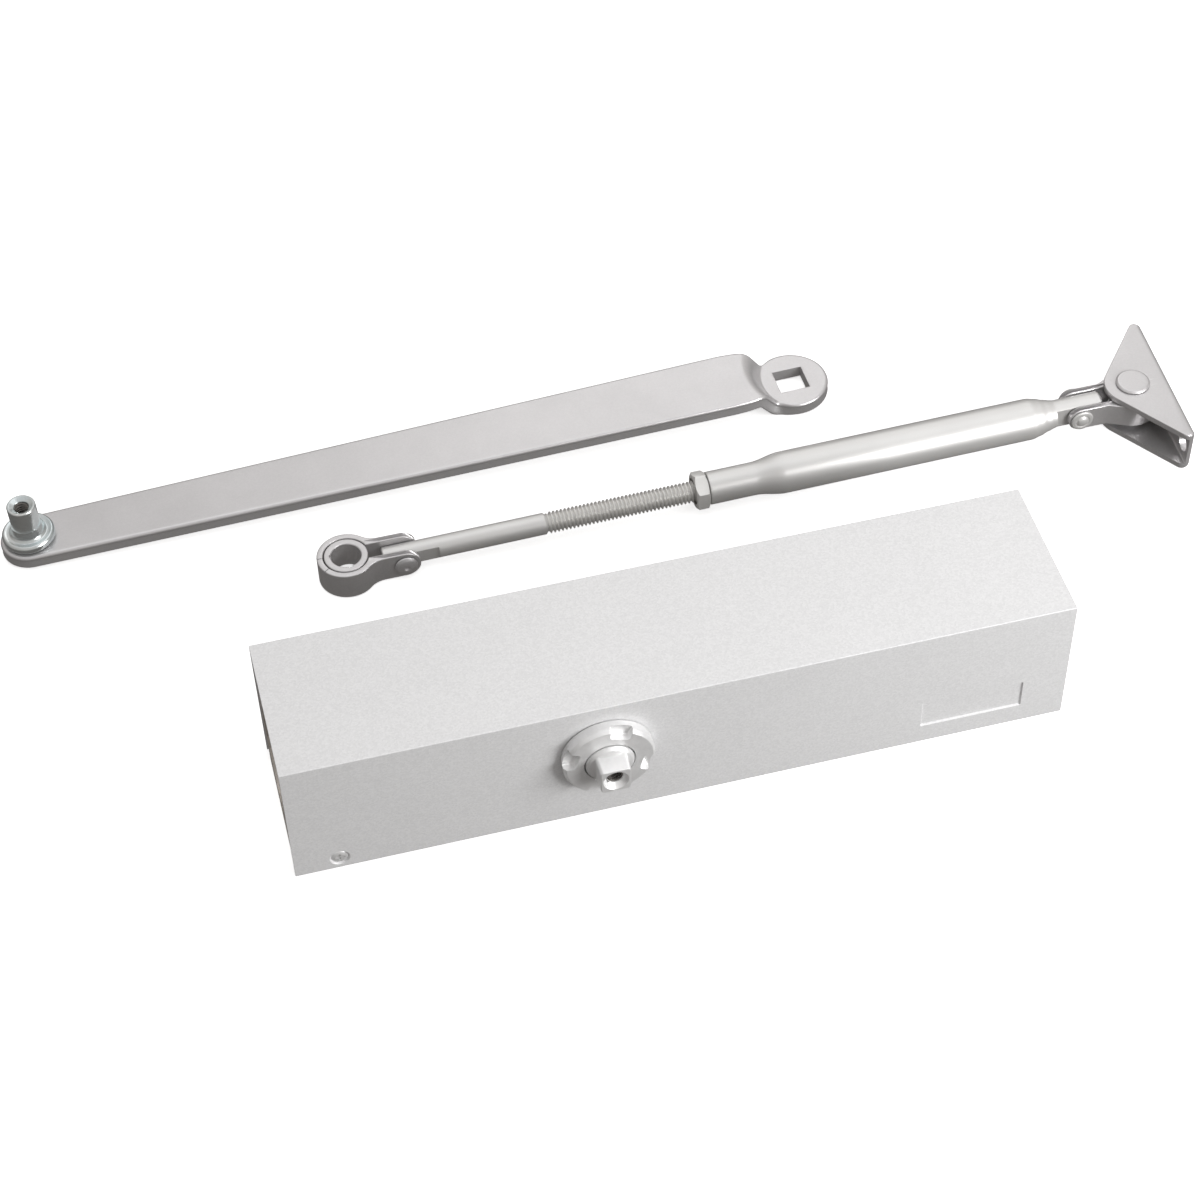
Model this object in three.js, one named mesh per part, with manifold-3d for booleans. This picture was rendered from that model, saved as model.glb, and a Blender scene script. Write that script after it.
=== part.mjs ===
// Surface-mounted rack-and-pinion door closer with its regular arm, laid out on a table:
// the closer body on its mounting back, the loose main arm, and the loose adjustable rod
// with its foot bracket. Millimetres, +Z up, X along the body, spindle pointing to -Y.
// Origin: centre of the closer's mounting back.
import * as THREE from 'three';
import { mergeVertices } from 'three/addons/utils/BufferGeometryUtils.js';
import Module from 'manifold-3d';

const wasm = await Module();
wasm.setup();

// ---------------------------------------------------------------- driving dimensions
const GAP = 0.3; // clearance left between faces that touch on the real object
const COVER = { length: 260, width: 55, height: 52, sheet: 1.2 };
const HOUSING = { length: 259.2, width: 44, height: 49.5, corner: 6, bossRadius: 15.5, bossReach: 26 };
const SPINDLE = { x: -26.6, z: 30.6, journal: 8, rearJournal: 6.5, square: 10.6, squareTip: 9.8 };
const PINION = { module: 1.25, teeth: 12, pressureAngle: THREE.MathUtils.degToRad(25), faceWidth: 15.6 };
const BORE = { radius: 16, z: 27, plugRadius: 17.8, plugDepth: 15.6 };
const PISTON = { radius: 15.7, left: -69.5, right: -7, travelDegrees: 180 };
const SPRING = { radius: 12, wire: 3.8, turns: 12, endPitch: 4.2, end: 107.7 };
const CAP = { radius: 15.1, front: -32.5, barrelRadius: 12.5, bore: 8.4, notches: 4,
  firstNotch: -17 };
const VALVE = { radius: 2.7, y: 16.5, z: 42, head: -126.2, drillEnd: -98, portX: -101.5, portRadius: 1.1 };
const FRONT_BEARING = { inner: 8.3, outer: 11.5, from: -22, to: -16.5 };
const REAR_BEARING = { inner: 6.8, outer: 9.2, from: 16.5, to: 23 };
const FIXING_HOLE = { x: 100, radius: 2.5, depth: 9 };
const COVER_SCREW = { x: -115.1, z: 4.9 };
const BADGE = { x: 97.4, z: 13.8, width: 35, height: 11.8, depth: 0.6 };

const ARM = { centres: 283.4, thickness: 5, offset: 7, bossRadius: 13.8, endRadius: 10.5, neckWidth: 27.4,
  square: 11, x: 88.3, y: 144.1, yaw: THREE.MathUtils.degToRad(1.15) };
const JOGGLE = { start: 10.6, angle: THREE.MathUtils.degToRad(55), bend: 3.2, stretch: 1.3, barStart: 22 };
const STUD = { barrelRadius: 5.1, flangeRadius: 9.3, height: 16.5, tailRadius: 5.4, tailHeight: 1 };

const ROD_LINE = { x: -89, y: 95.8, yaw: THREE.MathUtils.degToRad(0.33) };
const YOKE = { outer: 10.3, inner: 8.1, height: 10.8, rivet: 20, earInner: 3.1, earOuter: 5.5, base: 0.1 };
const BUSH = { outer: 7.8, bore: 5.4 };
const ROD = { radius: 3.9, end: -7.4, flatEnd: 12.6, flat: 2.8, innerEnd: 157 };
const NUT = { start: 106.2, thickness: 4.8, flats: 12.4 };
const TUBE = { start: 111.4, neckRadius: 6, neckEnd: 129, bodyStart: 138.4, bodyRadius: 7.6, bodyEnd: 233.6,
  tongueStart: 242.8, tongueRadius: 5, tongueFlat: 3.1, end: 260.2, boreRadius: 4.2, boreEnd: 229 };
const FOOT = { rivet: 251.3, rivetHeight: 9.4, pivot: 21.1, strap: 2.3, earInner: 3.6, loop: 10, height: 9.4,
  spacer: 7.3, pin: 4 };
const BRACKET = { height: 17, sheet: 2.3, apex: 10.3, base: 13.4, halfLength: 30.3, corner: 2.4, hole: 3.3,
  holeSpacing: 50.6, yaw: THREE.MathUtils.degToRad(-2.5) };
const RIVET = { shank: 2, hole: 2.3, head: 4.2, dome: 1.6 };

const pitchRadius = PINION.module * PINION.teeth / 2;
const toothPitch = Math.PI * PINION.module;
const pistonTravel = pitchRadius * THREE.MathUtils.degToRad(PISTON.travelDegrees);
const yokeRivetHeight = YOKE.base + YOKE.height / 2;
const rodPitch = Math.asin((FOOT.rivetHeight - yokeRivetHeight) / FOOT.rivet);

// ---------------------------------------------------------------- geometry helpers

// Welds a geometry to bare positions, drops collapsed triangles and turns its faces outward.
function weld(geometry) {
  const bare = geometry.clone();
  bare.deleteAttribute('normal');
  bare.deleteAttribute('uv');
  const merged = mergeVertices(bare, 1e-4);
  const corner = merged.index.array;
  const kept = [];
  let volume = 0;
  const a = new THREE.Vector3(), b = new THREE.Vector3(), c = new THREE.Vector3();
  for (let i = 0; i < corner.length; i += 3) {
    const [p, q, r] = [corner[i], corner[i + 1], corner[i + 2]];
    if (p === q || q === r || r === p) continue;
    kept.push(p, q, r);
    a.fromBufferAttribute(merged.attributes.position, p);
    b.fromBufferAttribute(merged.attributes.position, q);
    c.fromBufferAttribute(merged.attributes.position, r);
    volume += a.dot(b.cross(c));
  }
  if (volume < 0) kept.reverse();
  merged.setIndex(kept);
  return merged;
}

function solid(geometry) {
  const closed = weld(geometry);
  return new wasm.Manifold(new wasm.Mesh({
    numProp: 3,
    vertProperties: new Float32Array(closed.attributes.position.array),
    triVerts: new Uint32Array(closed.index.array),
  }));
}

function geometryOf(manifold) {
  const mesh = manifold.getMesh();
  const geometry = new THREE.BufferGeometry();
  geometry.setAttribute('position', new THREE.BufferAttribute(mesh.vertProperties, 3));
  geometry.setIndex(new THREE.BufferAttribute(mesh.triVerts, 1));
  return geometry;
}

const cut = (body, ...tools) => tools.reduce((rest, tool) => rest.subtract(tool), body);
const join = (body, ...others) => others.reduce((sum, other) => sum.add(other), body);

function box(x0, x1, y0, y1, z0, z1) {
  const geometry = new THREE.BoxGeometry(x1 - x0, y1 - y0, z1 - z0);
  return solid(geometry.translate((x0 + x1) / 2, (y0 + y1) / 2, (z0 + z1) / 2));
}

// Turns a geometry built around +Y so that its axis lies along the named axis.
function alongAxis(geometry, axis) {
  if (axis === 'x') geometry.rotateZ(-Math.PI / 2);
  if (axis === 'z') geometry.rotateX(Math.PI / 2);
  return geometry;
}

// A solid of revolution: profile points are [radius, distance along the axis].
function turned(profile, axis, segments = 24) {
  const points = profile.map(([radius, along]) => new THREE.Vector2(radius, along));
  if (points[0].x > 0) points.push(points[0].clone());
  return solid(alongAxis(new THREE.LatheGeometry(points, segments), axis));
}

function cylinder(radius, from, to, axis, segments = 24) {
  return turned([[0, from], [radius, from], [radius, to], [0, to]], axis, segments);
}

function ring(inner, outer, from, to, axis, segments = 24) {
  return turned([[inner, from], [outer, from], [outer, to], [inner, to]], axis, segments);
}

// A round cord ring (an O-ring) about an axis.
function torus(radius, cord, along, axis) {
  const profile = [];
  const sides = 6;
  for (let i = 0; i < sides; i++) {
    const angle = i * 2 * Math.PI / sides;
    profile.push([radius + cord * Math.cos(angle), along + cord * Math.sin(angle)]);
  }
  return turned(profile, axis, 16);
}

// A plan outline (x, y) raised from z0 to z1.
function raised(shape, z0, z1, curveSegments = 8) {
  const geometry = new THREE.ExtrudeGeometry(shape, { depth: z1 - z0, bevelEnabled: false, curveSegments });
  return solid(geometry.translate(0, 0, z0));
}

// A side outline (x, z) stretched across from y0 to y1.
function stretched(shape, y0, y1, curveSegments = 8) {
  const geometry = new THREE.ExtrudeGeometry(shape, { depth: y1 - y0, bevelEnabled: false, curveSegments });
  return solid(geometry.rotateX(Math.PI / 2).translate(0, y1, 0));
}

function outline(points) {
  return new THREE.Shape(points.map(([x, y]) => new THREE.Vector2(x, y)));
}

function roundedRectangle(width, height, radius) {
  const shape = new THREE.Shape();
  const [x, y] = [width / 2 - radius, height / 2 - radius];
  shape.absarc(x, y, radius, 0, Math.PI / 2);
  shape.absarc(-x, y, radius, Math.PI / 2, Math.PI);
  shape.absarc(-x, -y, radius, Math.PI, 1.5 * Math.PI);
  shape.absarc(x, -y, radius, 1.5 * Math.PI, 2 * Math.PI);
  return shape;
}

// ---------------------------------------------------------------- finishes
const finish = (color, roughness, metalness) =>
  new THREE.MeshStandardMaterial({ color, roughness, metalness });
const silverPaint = () => finish(0xc9c9ca, 0.5, 0.4);
const castMetal = () => finish(0xa9a39b, 0.6, 0.7);
const brightPlate = () => finish(0xdcdcdc, 0.28, 0.9);
const zincPlate = () => finish(0xb9c4c8, 0.25, 0.9);
const darkSteel = () => finish(0x77787a, 0.4, 0.9);
const rubber = () => finish(0x1c1c1e, 0.8, 0);

const closer = new THREE.Group();

function place(parent, name, manifold, material) {
  const mesh = new THREE.Mesh(geometryOf(manifold), material);
  mesh.name = name;
  parent.add(mesh);
  return mesh;
}

// ---------------------------------------------------------------- closer body

// Folded sheet cover: front, top and back walls, open at both ends and at the door side.
function cover() {
  const { length, width, height, sheet } = COVER;
  const end = length / 2;
  const side = width / 2;
  const shell = cut(
    box(-end, end, -side, side, 0, height),
    box(-end - 1, end + 1, -side + sheet, side - sheet, -1, height - sheet));
  const capHole = cylinder(CAP.barrelRadius + 0.7, -side - 1, -side + sheet + 1, 'y')
    .translate(SPINDLE.x, 0, SPINDLE.z);
  const screwHole = join(cylinder(1.9, -side - 1, -side + sheet + 1, 'y', 20),
    cylinder(3.1, -side - 1, -side + 0.6, 'y', 24)).translate(COVER_SCREW.x, 0, COVER_SCREW.z);
  const badge = stretched(roundedRectangle(BADGE.width, BADGE.height, 0.8), -side - 1, -side + BADGE.depth, 3)
    .translate(BADGE.x, 0, BADGE.z);
  return cut(shell, capHole, screwHole, badge);
}

function coverScrew() {
  const face = -COVER.width / 2;
  const screw = turned([[0, face - 0.4], [2.2, face - 0.4], [2.7, face - 0.1], [2.7, face + GAP],
    [1.5, face + GAP], [1.5, -15], [0, -15]], 'y', 24);
  return cut(screw, box(-0.35, 0.35, face - 1, face - 0.1, -1.7, 1.7),
    box(-1.7, 1.7, face - 1, face - 0.1, -0.35, 0.35)).translate(COVER_SCREW.x, 0, COVER_SCREW.z);
}

// Cast body: long bore for the piston and spring, cross bore for the spindle, valve drillings.
function housing() {
  const { length, width, height, corner, bossRadius, bossReach } = HOUSING;
  const end = length / 2;
  const side = width / 2;
  const section = new THREE.Shape();
  section.moveTo(-side, 0);
  section.lineTo(side, 0);
  section.absarc(side - corner, height - corner, corner, 0, Math.PI / 2);
  section.absarc(-side + corner, height - corner, corner, Math.PI / 2, Math.PI);
  const geometry = new THREE.ExtrudeGeometry(section, { depth: length, bevelEnabled: false, curveSegments: 5 });
  const block = solid(geometry.rotateX(Math.PI / 2).rotateZ(Math.PI / 2).translate(-end, 0, 0));
  const bosses = cylinder(bossRadius, -bossReach, bossReach, 'y').translate(SPINDLE.x, 0, SPINDLE.z);

  const longBore = cylinder(BORE.radius, -end - 1, end + 1, 'x', 28).translate(0, 0, BORE.z);
  const leftSeat = cylinder(BORE.plugRadius, -end - 1, -end + BORE.plugDepth, 'x', 28).translate(0, 0, BORE.z);
  const rightSeat = cylinder(BORE.plugRadius, end - BORE.plugDepth, end + 1, 'x', 28).translate(0, 0, BORE.z);
  const frontBore = join(cylinder(CAP.barrelRadius + GAP, -bossReach - 1, -22.2, 'y'),
    cylinder(11.8, -23, -4, 'y')).translate(SPINDLE.x, 0, SPINDLE.z);
  const rearBore = cylinder(9.5, 4, 23.5, 'y').translate(SPINDLE.x, 0, SPINDLE.z);
  const screwHole = cylinder(1.8, -side - 1, -14, 'y', 20).translate(COVER_SCREW.x, 0, COVER_SCREW.z);

  const drillings = [];
  for (const y of [-VALVE.y, VALVE.y]) {
    drillings.push(cylinder(VALVE.radius + 0.4, -end - 1, VALVE.drillEnd, 'x', 24).translate(0, y, VALVE.z));
    const port = new THREE.CylinderGeometry(VALVE.portRadius, VALVE.portRadius, 12, 12);
    const lean = Math.atan2(y, VALVE.z - BORE.z);
    drillings.push(solid(port.rotateX(Math.PI / 2).translate(0, 0, BORE.radius + 1).rotateX(-lean)
      .translate(VALVE.portX, 0, BORE.z)));
    for (const x of [-FIXING_HOLE.x, FIXING_HOLE.x]) {
      drillings.push(cylinder(FIXING_HOLE.radius, -1, FIXING_HOLE.depth, 'z', 20).translate(x, y, 0));
    }
  }
  return cut(join(block, bosses), longBore, leftSeat, rightSeat, frontBore, rearBore, screwHole, ...drillings);
}

// Threaded plug that closes one end of the long bore, with a hexagon socket and an O-ring groove.
function endPlug(side) {
  const face = HOUSING.length / 2 - 1;
  const seat = HOUSING.length / 2 - BORE.plugDepth + GAP;
  const plug = turned([[0, face], [16.6, face], [17.5, face - 1], [17.5, seat], [15.7, seat], [15.7, seat - 1.8],
    [13.2, seat - 1.8], [13.2, seat - 4.5], [15.7, seat - 4.5], [15.7, seat - 6], [0, seat - 6]], 'x', 28);
  const socket = solid(new THREE.CylinderGeometry(5.8, 5.8, 12, 6).rotateZ(Math.PI / 2).translate(face, 0, 0));
  return mirrored(cut(plug, socket), side).translate(0, 0, BORE.z);
}

function plugRing(side) {
  const groove = HOUSING.length / 2 - BORE.plugDepth + GAP - 3.15;
  return torus(14.6, 1.05, side * groove, 'x').translate(0, 0, BORE.z);
}

// Turns a piece drawn for the right-hand end to the left-hand end when side is -1.
function mirrored(manifold, side) {
  return side > 0 ? manifold : solid(geometryOf(manifold).rotateZ(Math.PI));
}

// Bearing cap outside the cover, with four spanner notches in its rim.
function frontBearingCap() {
  const seat = -COVER.width / 2 - GAP;
  const { front, radius, barrelRadius, bore } = CAP;
  const body = turned([[bore, front], [radius - 0.7, front], [radius, front + 0.9], [radius, seat],
    [barrelRadius, seat], [barrelRadius, -25.2], [10.7, -25.2], [10.7, -23.2], [barrelRadius, -23.2],
    [barrelRadius, -22.5], [bore, -22.5], [bore, -26], [9.9, -26], [9.9, -28.8], [bore, -28.8]], 'y', 36);
  const notches = [];
  for (let i = 0; i < CAP.notches; i++) {
    const slot = join(box(11.6, 17, front - 1, front + 2.2, -3.3, 3.3),
      cylinder(3.3, front - 1, front + 2.2, 'y', 16).translate(13.4, 0, 0));
    notches.push(slot.rotate([0, -CAP.firstNotch - i * 360 / CAP.notches, 0]));
  }
  return cut(body, ...notches).translate(SPINDLE.x, 0, SPINDLE.z);
}

function bearing({ inner, outer, from, to }) {
  return ring(inner, outer, from, to, 'y').translate(SPINDLE.x, 0, SPINDLE.z);
}

// Pinion outline: each tooth has involute flanks from the base circle to the tip circle.
function pinionOutline() {
  const { module, teeth, pressureAngle } = PINION;
  const base = pitchRadius * Math.cos(pressureAngle);
  const tip = pitchRadius + 0.95 * module;
  const root = pitchRadius - 1.3 * module;
  const backlash = 0.1;
  const involute = (angle) => Math.tan(angle) - angle;
  const halfTooth = (toothPitch / 2 - backlash) / (2 * pitchRadius) + involute(pressureAngle);
  const flank = [[root, halfTooth]];
  const steps = 5;
  for (let i = 0; i <= steps; i++) {
    const radius = base + (tip - base) * i / steps;
    flank.push([radius, halfTooth - involute(Math.acos(Math.min(1, base / radius)))]);
  }
  const points = [];
  for (let tooth = 0; tooth < teeth; tooth++) {
    const middle = -Math.PI / 2 + tooth * 2 * Math.PI / teeth;
    for (const [radius, half] of flank) points.push([radius, middle - half]);
    for (const [radius, half] of [...flank].reverse()) points.push([radius, middle + half]);
  }
  return outline(points.map(([radius, angle]) => [radius * Math.cos(angle), radius * Math.sin(angle)]));
}

// Spindle: rear journal, pinion, front journal and the tapered square with its tapped hole.
function spindle() {
  const { journal, rearJournal, square, squareTip } = SPINDLE;
  const tip = -40.1;
  const shoulder = -32.8;
  const half = PINION.faceWidth / 2;
  const core = 5.5;
  const shaft = turned([[0, 23], [rearJournal - 0.5, 23], [rearJournal, 22.5], [rearJournal, half],
    [core, half], [core, -half], [journal, -half], [journal, shoulder], [7.2, shoulder - 1.1],
    [5.2, shoulder - 1.7], [0, shoulder - 1.7]], 'y', 28);
  const pinion = stretched(pinionOutline(), -half, half);
  const corner = Math.SQRT1_2;
  const length = shoulder - 1 - tip;
  const end = new THREE.CylinderGeometry(squareTip * corner, square * corner, length, 4);
  const drive = solid(end.rotateY(Math.PI / 4).rotateX(Math.PI).translate(0, tip + length / 2, 0))
    .intersect(cylinder(7, tip - 1, shoulder, 'y'));
  const hole = turned([[0, tip - 1], [4.3, tip - 1], [4.3, tip], [2.5, tip + 1.9], [2.5, tip + 14], [0, tip + 15]],
    'y', 24);
  return cut(join(shaft, pinion, drive), hole).translate(SPINDLE.x, 0, SPINDLE.z);
}

// Piston: windowed cylinder with the rack on the window's floor and the check valve seat.
function piston() {
  const { radius, left, right } = PISTON;
  const { module, pressureAngle, faceWidth } = PINION;
  const pitchLine = SPINDLE.z - pitchRadius;
  const rackRoot = pitchLine - 1.3 * module;
  const rackTip = pitchLine + 0.95 * module;
  const clear = pitchRadius + 1.8;
  const windowLeft = SPINDLE.x - clear - pistonTravel;
  const windowRight = SPINDLE.x + clear;
  const body = join(cylinder(radius, left, right, 'x', 28), cylinder(9.5, right - 1, right + 4, 'x'))
    .translate(0, 0, BORE.z);
  const opening = box(windowLeft, windowRight, -radius - 1, radius + 1, rackRoot, SPINDLE.z + clear);
  const seat = turned([[0, left - 1], [4.7, left - 1], [4.7, left + 1.5], [2.8, left + 1.5], [2.8, left + 5.5],
    [1.5, left + 6.5], [1.5, windowLeft + 1], [0, windowLeft + 1]], 'x', 24).translate(0, 0, BORE.z);
  const backlash = 0.1;
  const half = toothPitch / 4 - backlash / 2;
  const slope = Math.tan(pressureAngle);
  const tipHalf = half - (rackTip - pitchLine) * slope;
  const rootHalf = half + (pitchLine - rackRoot + 0.5) * slope;
  const teeth = [];
  const first = -Math.floor((pistonTravel + pitchRadius) / toothPitch);
  for (let i = first; i <= 1; i++) {
    const x = SPINDLE.x + (i + 0.5) * toothPitch;
    const tooth = outline([[x - rootHalf, rackRoot - 0.5], [x + rootHalf, rackRoot - 0.5],
      [x + tipHalf, rackTip], [x - tipHalf, rackTip]]);
    teeth.push(stretched(tooth, -faceWidth / 2 + 0.3, faceWidth / 2 - 0.3));
  }
  return join(cut(body, opening, seat), ...teeth);
}

function checkValveRetainer() {
  const { left } = PISTON;
  return ring(1.2, 4.4, left + 0.2, left + 1.2, 'x', 24).translate(0, 0, BORE.z);
}

function checkValveBall() {
  return solid(new THREE.SphereGeometry(2.2, 14, 9)).translate(PISTON.left + 3.8, 0, BORE.z);
}

// Helix along X whose end turns are closed up.
class CoilPath extends THREE.Curve {
  getPoint(t) {
    const { radius, wire, turns, endPitch, end } = SPRING;
    const start = PISTON.right + GAP + wire / 2;
    const stop = end - wire / 2;
    const turn = t * turns;
    const openPitch = (stop - start - 2 * endPitch) / (turns - 2);
    const open = Math.min(Math.max(turn - 1, 0), turns - 2);
    const closed = turn - open;
    const angle = turn * 2 * Math.PI;
    return new THREE.Vector3(start + open * openPitch + closed * endPitch,
      radius * Math.cos(angle), BORE.z + radius * Math.sin(angle));
  }
}

function spring() {
  const wire = [];
  const sides = 6;
  for (let i = 0; i < sides; i++) {
    const angle = i * 2 * Math.PI / sides;
    wire.push([Math.cos(angle) * SPRING.wire / 2, Math.sin(angle) * SPRING.wire / 2]);
  }
  const geometry = new THREE.ExtrudeGeometry(outline(wire), { steps: SPRING.turns * 12,
    bevelEnabled: false, extrudePath: new CoilPath() });
  return solid(geometry);
}

// Needle screw that meters the oil; screwdriver slot at the outer end.
function valveScrew(y) {
  const { radius, head, z } = VALVE;
  const screw = turned([[0, head], [radius, head], [radius, head + 14], [1.45, head + 14], [1.45, head + 15.6],
    [radius, head + 15.6], [radius, head + 22], [1.2, head + 25], [0, head + 25.6]], 'x', 24);
  return cut(screw, box(head - 1, head + 1.2, -3, 3, -0.45, 0.45)).translate(0, y, z);
}

function valveRing(y) {
  return torus(2.25, 0.55, VALVE.head + 14.8, 'x').translate(0, y, VALVE.z);
}

place(closer, 'cover', cover(), silverPaint());
place(closer, 'cover_screw', coverScrew(), brightPlate());
place(closer, 'housing', housing(), castMetal());
place(closer, 'left_end_plug', endPlug(-1), castMetal());
place(closer, 'left_plug_o_ring', plugRing(-1), rubber());
place(closer, 'right_end_plug', endPlug(1), castMetal());
place(closer, 'right_plug_o_ring', plugRing(1), rubber());
place(closer, 'front_bearing_cap', frontBearingCap(), brightPlate());
place(closer, 'bearing_cap_o_ring', torus(11.7, 0.7, -24.2, 'y').translate(SPINDLE.x, 0, SPINDLE.z), rubber());
place(closer, 'spindle_seal', torus(9.05, 0.65, -27.4, 'y').translate(SPINDLE.x, 0, SPINDLE.z), rubber());
place(closer, 'front_bearing', bearing(FRONT_BEARING), darkSteel());
place(closer, 'rear_bearing', bearing(REAR_BEARING), darkSteel());
place(closer, 'spindle', spindle(), brightPlate());
place(closer, 'piston', piston(), darkSteel());
place(closer, 'check_valve_retainer', checkValveRetainer(), darkSteel());
place(closer, 'check_valve_ball', checkValveBall(), brightPlate());
place(closer, 'closing_spring', spring(), darkSteel());
place(closer, 'closing_speed_valve', valveScrew(-VALVE.y), brightPlate());
place(closer, 'closing_valve_o_ring', valveRing(-VALVE.y), rubber());
place(closer, 'latching_speed_valve', valveScrew(VALVE.y), brightPlate());
place(closer, 'latching_valve_o_ring', valveRing(VALVE.y), rubber());

// ---------------------------------------------------------------- main arm

// Section through the joggle as [distance from the boss's axis, height]: two bends and a straight ramp.
function joggleSection() {
  const { thickness, offset } = ARM;
  const { start, angle, bend, barStart } = JOGGLE;
  const half = thickness / 2;
  const ramp = (offset - 2 * bend * (1 - Math.cos(angle))) / Math.sin(angle);
  const end = start + 2 * bend * Math.sin(angle) + ramp * Math.cos(angle);
  const outerRadius = barStart + 8;
  const upper = [];
  const lower = [];
  const put = (along, height, slope) => {
    upper.unshift([along - half * Math.sin(slope), height + half * Math.cos(slope)]);
    lower.push([along + half * Math.sin(slope), height - half * Math.cos(slope)]);
  };
  const steps = 5;
  for (let i = 0; i <= steps; i++) {
    const slope = angle * i / steps;
    put(start + bend * Math.sin(slope), half + bend * (1 - Math.cos(slope)), slope);
  }
  for (let i = steps; i >= 0; i--) {
    const slope = angle * i / steps;
    put(end - bend * Math.sin(slope), half + offset - bend * (1 - Math.cos(slope)), slope);
  }
  return [[0, 0], ...lower, [outerRadius, offset], [outerRadius, offset + thickness], ...upper, [0, thickness]];
}

// Plan outline of the arm: round boss, waisted neck, tapering bar, round far end.
function armPlan() {
  const { centres, bossRadius, endRadius, neckWidth } = ARM;
  const neck = neckWidth / 2;
  const bossAngle = THREE.MathUtils.degToRad(122);
  const shape = new THREE.Shape();
  shape.absarc(0, 0, bossRadius, -bossAngle, bossAngle);
  shape.quadraticCurveTo(-11, 10.9, -14.4, 12.3);
  shape.quadraticCurveTo(-18, neck, -24, neck);
  shape.lineTo(-centres, endRadius);
  shape.absarc(-centres, 0, endRadius, Math.PI / 2, 1.5 * Math.PI);
  shape.lineTo(-24, -neck);
  shape.quadraticCurveTo(-18, -neck, -14.4, -12.3);
  shape.quadraticCurveTo(-11, -10.9, bossRadius * Math.cos(bossAngle), -bossRadius * Math.sin(bossAngle));
  return shape;
}

// The joggle rises around the boss, along ovals about its axis, and runs out into the flat bar.
function mainArm() {
  const { centres, thickness, offset, bossRadius, endRadius, square } = ARM;
  const { stretch, barStart } = JOGGLE;
  const half = square / 2;
  const overlap = 1;
  const points = joggleSection().map(([radius, along]) => new THREE.Vector2(radius, along));
  const rising = solid(alongAxis(new THREE.LatheGeometry(points, 72), 'z').scale(1, stretch, 1))
    .intersect(box(-barStart, 0, -20, 20, -1, 20));
  const flats = join(box(-overlap, bossRadius + 1, -13.6, 13.6, 0, thickness),
    box(0, bossRadius + 1, -20, 20, 0, thickness),
    box(-centres - endRadius - 1, -barStart + overlap, -20, 20, offset, offset + thickness));
  return cut(join(rising, flats).intersect(raised(armPlan(), -1, 20, 12)), box(-half, half, -half, half, -1, 8),
    cylinder(3.6, 0, 20, 'z', 24).translate(-centres, 0, 0));
}

// Stud riveted through the far end of the arm: round tail, flange, barrel with a tapped hole.
function elbowStud() {
  const { barrelRadius, flangeRadius, height, tailRadius, tailHeight } = STUD;
  const under = ARM.offset - GAP;
  const top = ARM.offset + ARM.thickness;
  const seat = top + GAP;
  return turned([[0, under - tailHeight], [tailRadius - 0.8, under - tailHeight], [tailRadius, under - 0.5],
    [tailRadius, under], [3.2, under], [3.2, seat], [flangeRadius - 0.5, seat], [flangeRadius, seat + 0.8],
    [flangeRadius, seat + 2], [flangeRadius - 1.2, seat + 3.2], [barrelRadius + 2.4, seat + 3.2],
    [barrelRadius + 0.5, seat + 4.3], [barrelRadius, seat + 6], [barrelRadius, top + height - 0.4],
    [barrelRadius - 0.4, top + height], [4.1, top + height], [2.5, top + height - 2.2], [2.5, top + 2],
    [0, top + 1.2]], 'z', 28).translate(-ARM.centres, 0, 0);
}

// The arm rests on its boss and on the stud's tail, which leaves it slightly tilted.
const tailBottom = ARM.offset - GAP - STUD.tailHeight;
const armTilt = Math.atan2(tailBottom, ARM.centres + STUD.tailRadius - 0.8 - ARM.bossRadius);
const armPlace = new THREE.Group();
armPlace.position.set(ARM.x, ARM.y, ARM.bossRadius * Math.sin(armTilt) + 0.02);
armPlace.rotation.z = ARM.yaw;
const armRest = new THREE.Group();
armRest.rotation.y = -armTilt;
armPlace.add(armRest);
closer.add(armPlace);
place(armRest, 'main_arm', mainArm(), silverPaint());
place(armRest, 'elbow_stud', elbowStud(), zincPlate());

// ---------------------------------------------------------------- adjustable rod

// Strap bent round the bush with two ears for the rivet. Drawn about the bush's axis.
function elbowYoke() {
  const { outer, inner, height, rivet, earInner, earOuter } = YOKE;
  const endRadius = height / 2;
  const leave = THREE.MathUtils.degToRad(52);
  const shape = new THREE.Shape();
  shape.absarc(0, 0, outer, leave, 2 * Math.PI - leave);
  shape.quadraticCurveTo(9, -earOuter - 0.1, 12.2, -earOuter);
  shape.lineTo(rivet + endRadius + 1, -earOuter);
  shape.lineTo(rivet + endRadius + 1, earOuter);
  shape.lineTo(12.2, earOuter);
  shape.quadraticCurveTo(9, earOuter + 0.1, outer * Math.cos(leave), outer * Math.sin(leave));
  const strap = cut(raised(shape, 0, height, 16), cylinder(inner, -1, height + 1, 'z', 28),
    box(4, rivet + endRadius + 2, -earInner, earInner, -1, height + 1));
  const profile = join(box(-outer - 1, rivet, -20, 20, -1, height + 1),
    cylinder(endRadius, -20, 20, 'y').translate(rivet, 0, endRadius));
  const hole = cylinder(RIVET.hole, -20, 20, 'y', 24).translate(rivet, 0, endRadius);
  return cut(strap.intersect(profile), hole);
}

// Rivet across a joint, with a low dome at each end.
function jointRivet(reach) {
  const { shank, head, dome } = RIVET;
  const seat = reach + GAP;
  const top = seat + dome;
  return turned([[0, -top], [head * 0.55, -top + 0.2], [head * 0.9, -top + 0.7], [head, -seat - 0.3],
    [head, -seat], [shank, -seat], [shank, seat], [head, seat], [head, seat + 0.3], [head * 0.9, top - 0.7],
    [head * 0.55, top - 0.2], [0, top]], 'y', 18);
}

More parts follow.
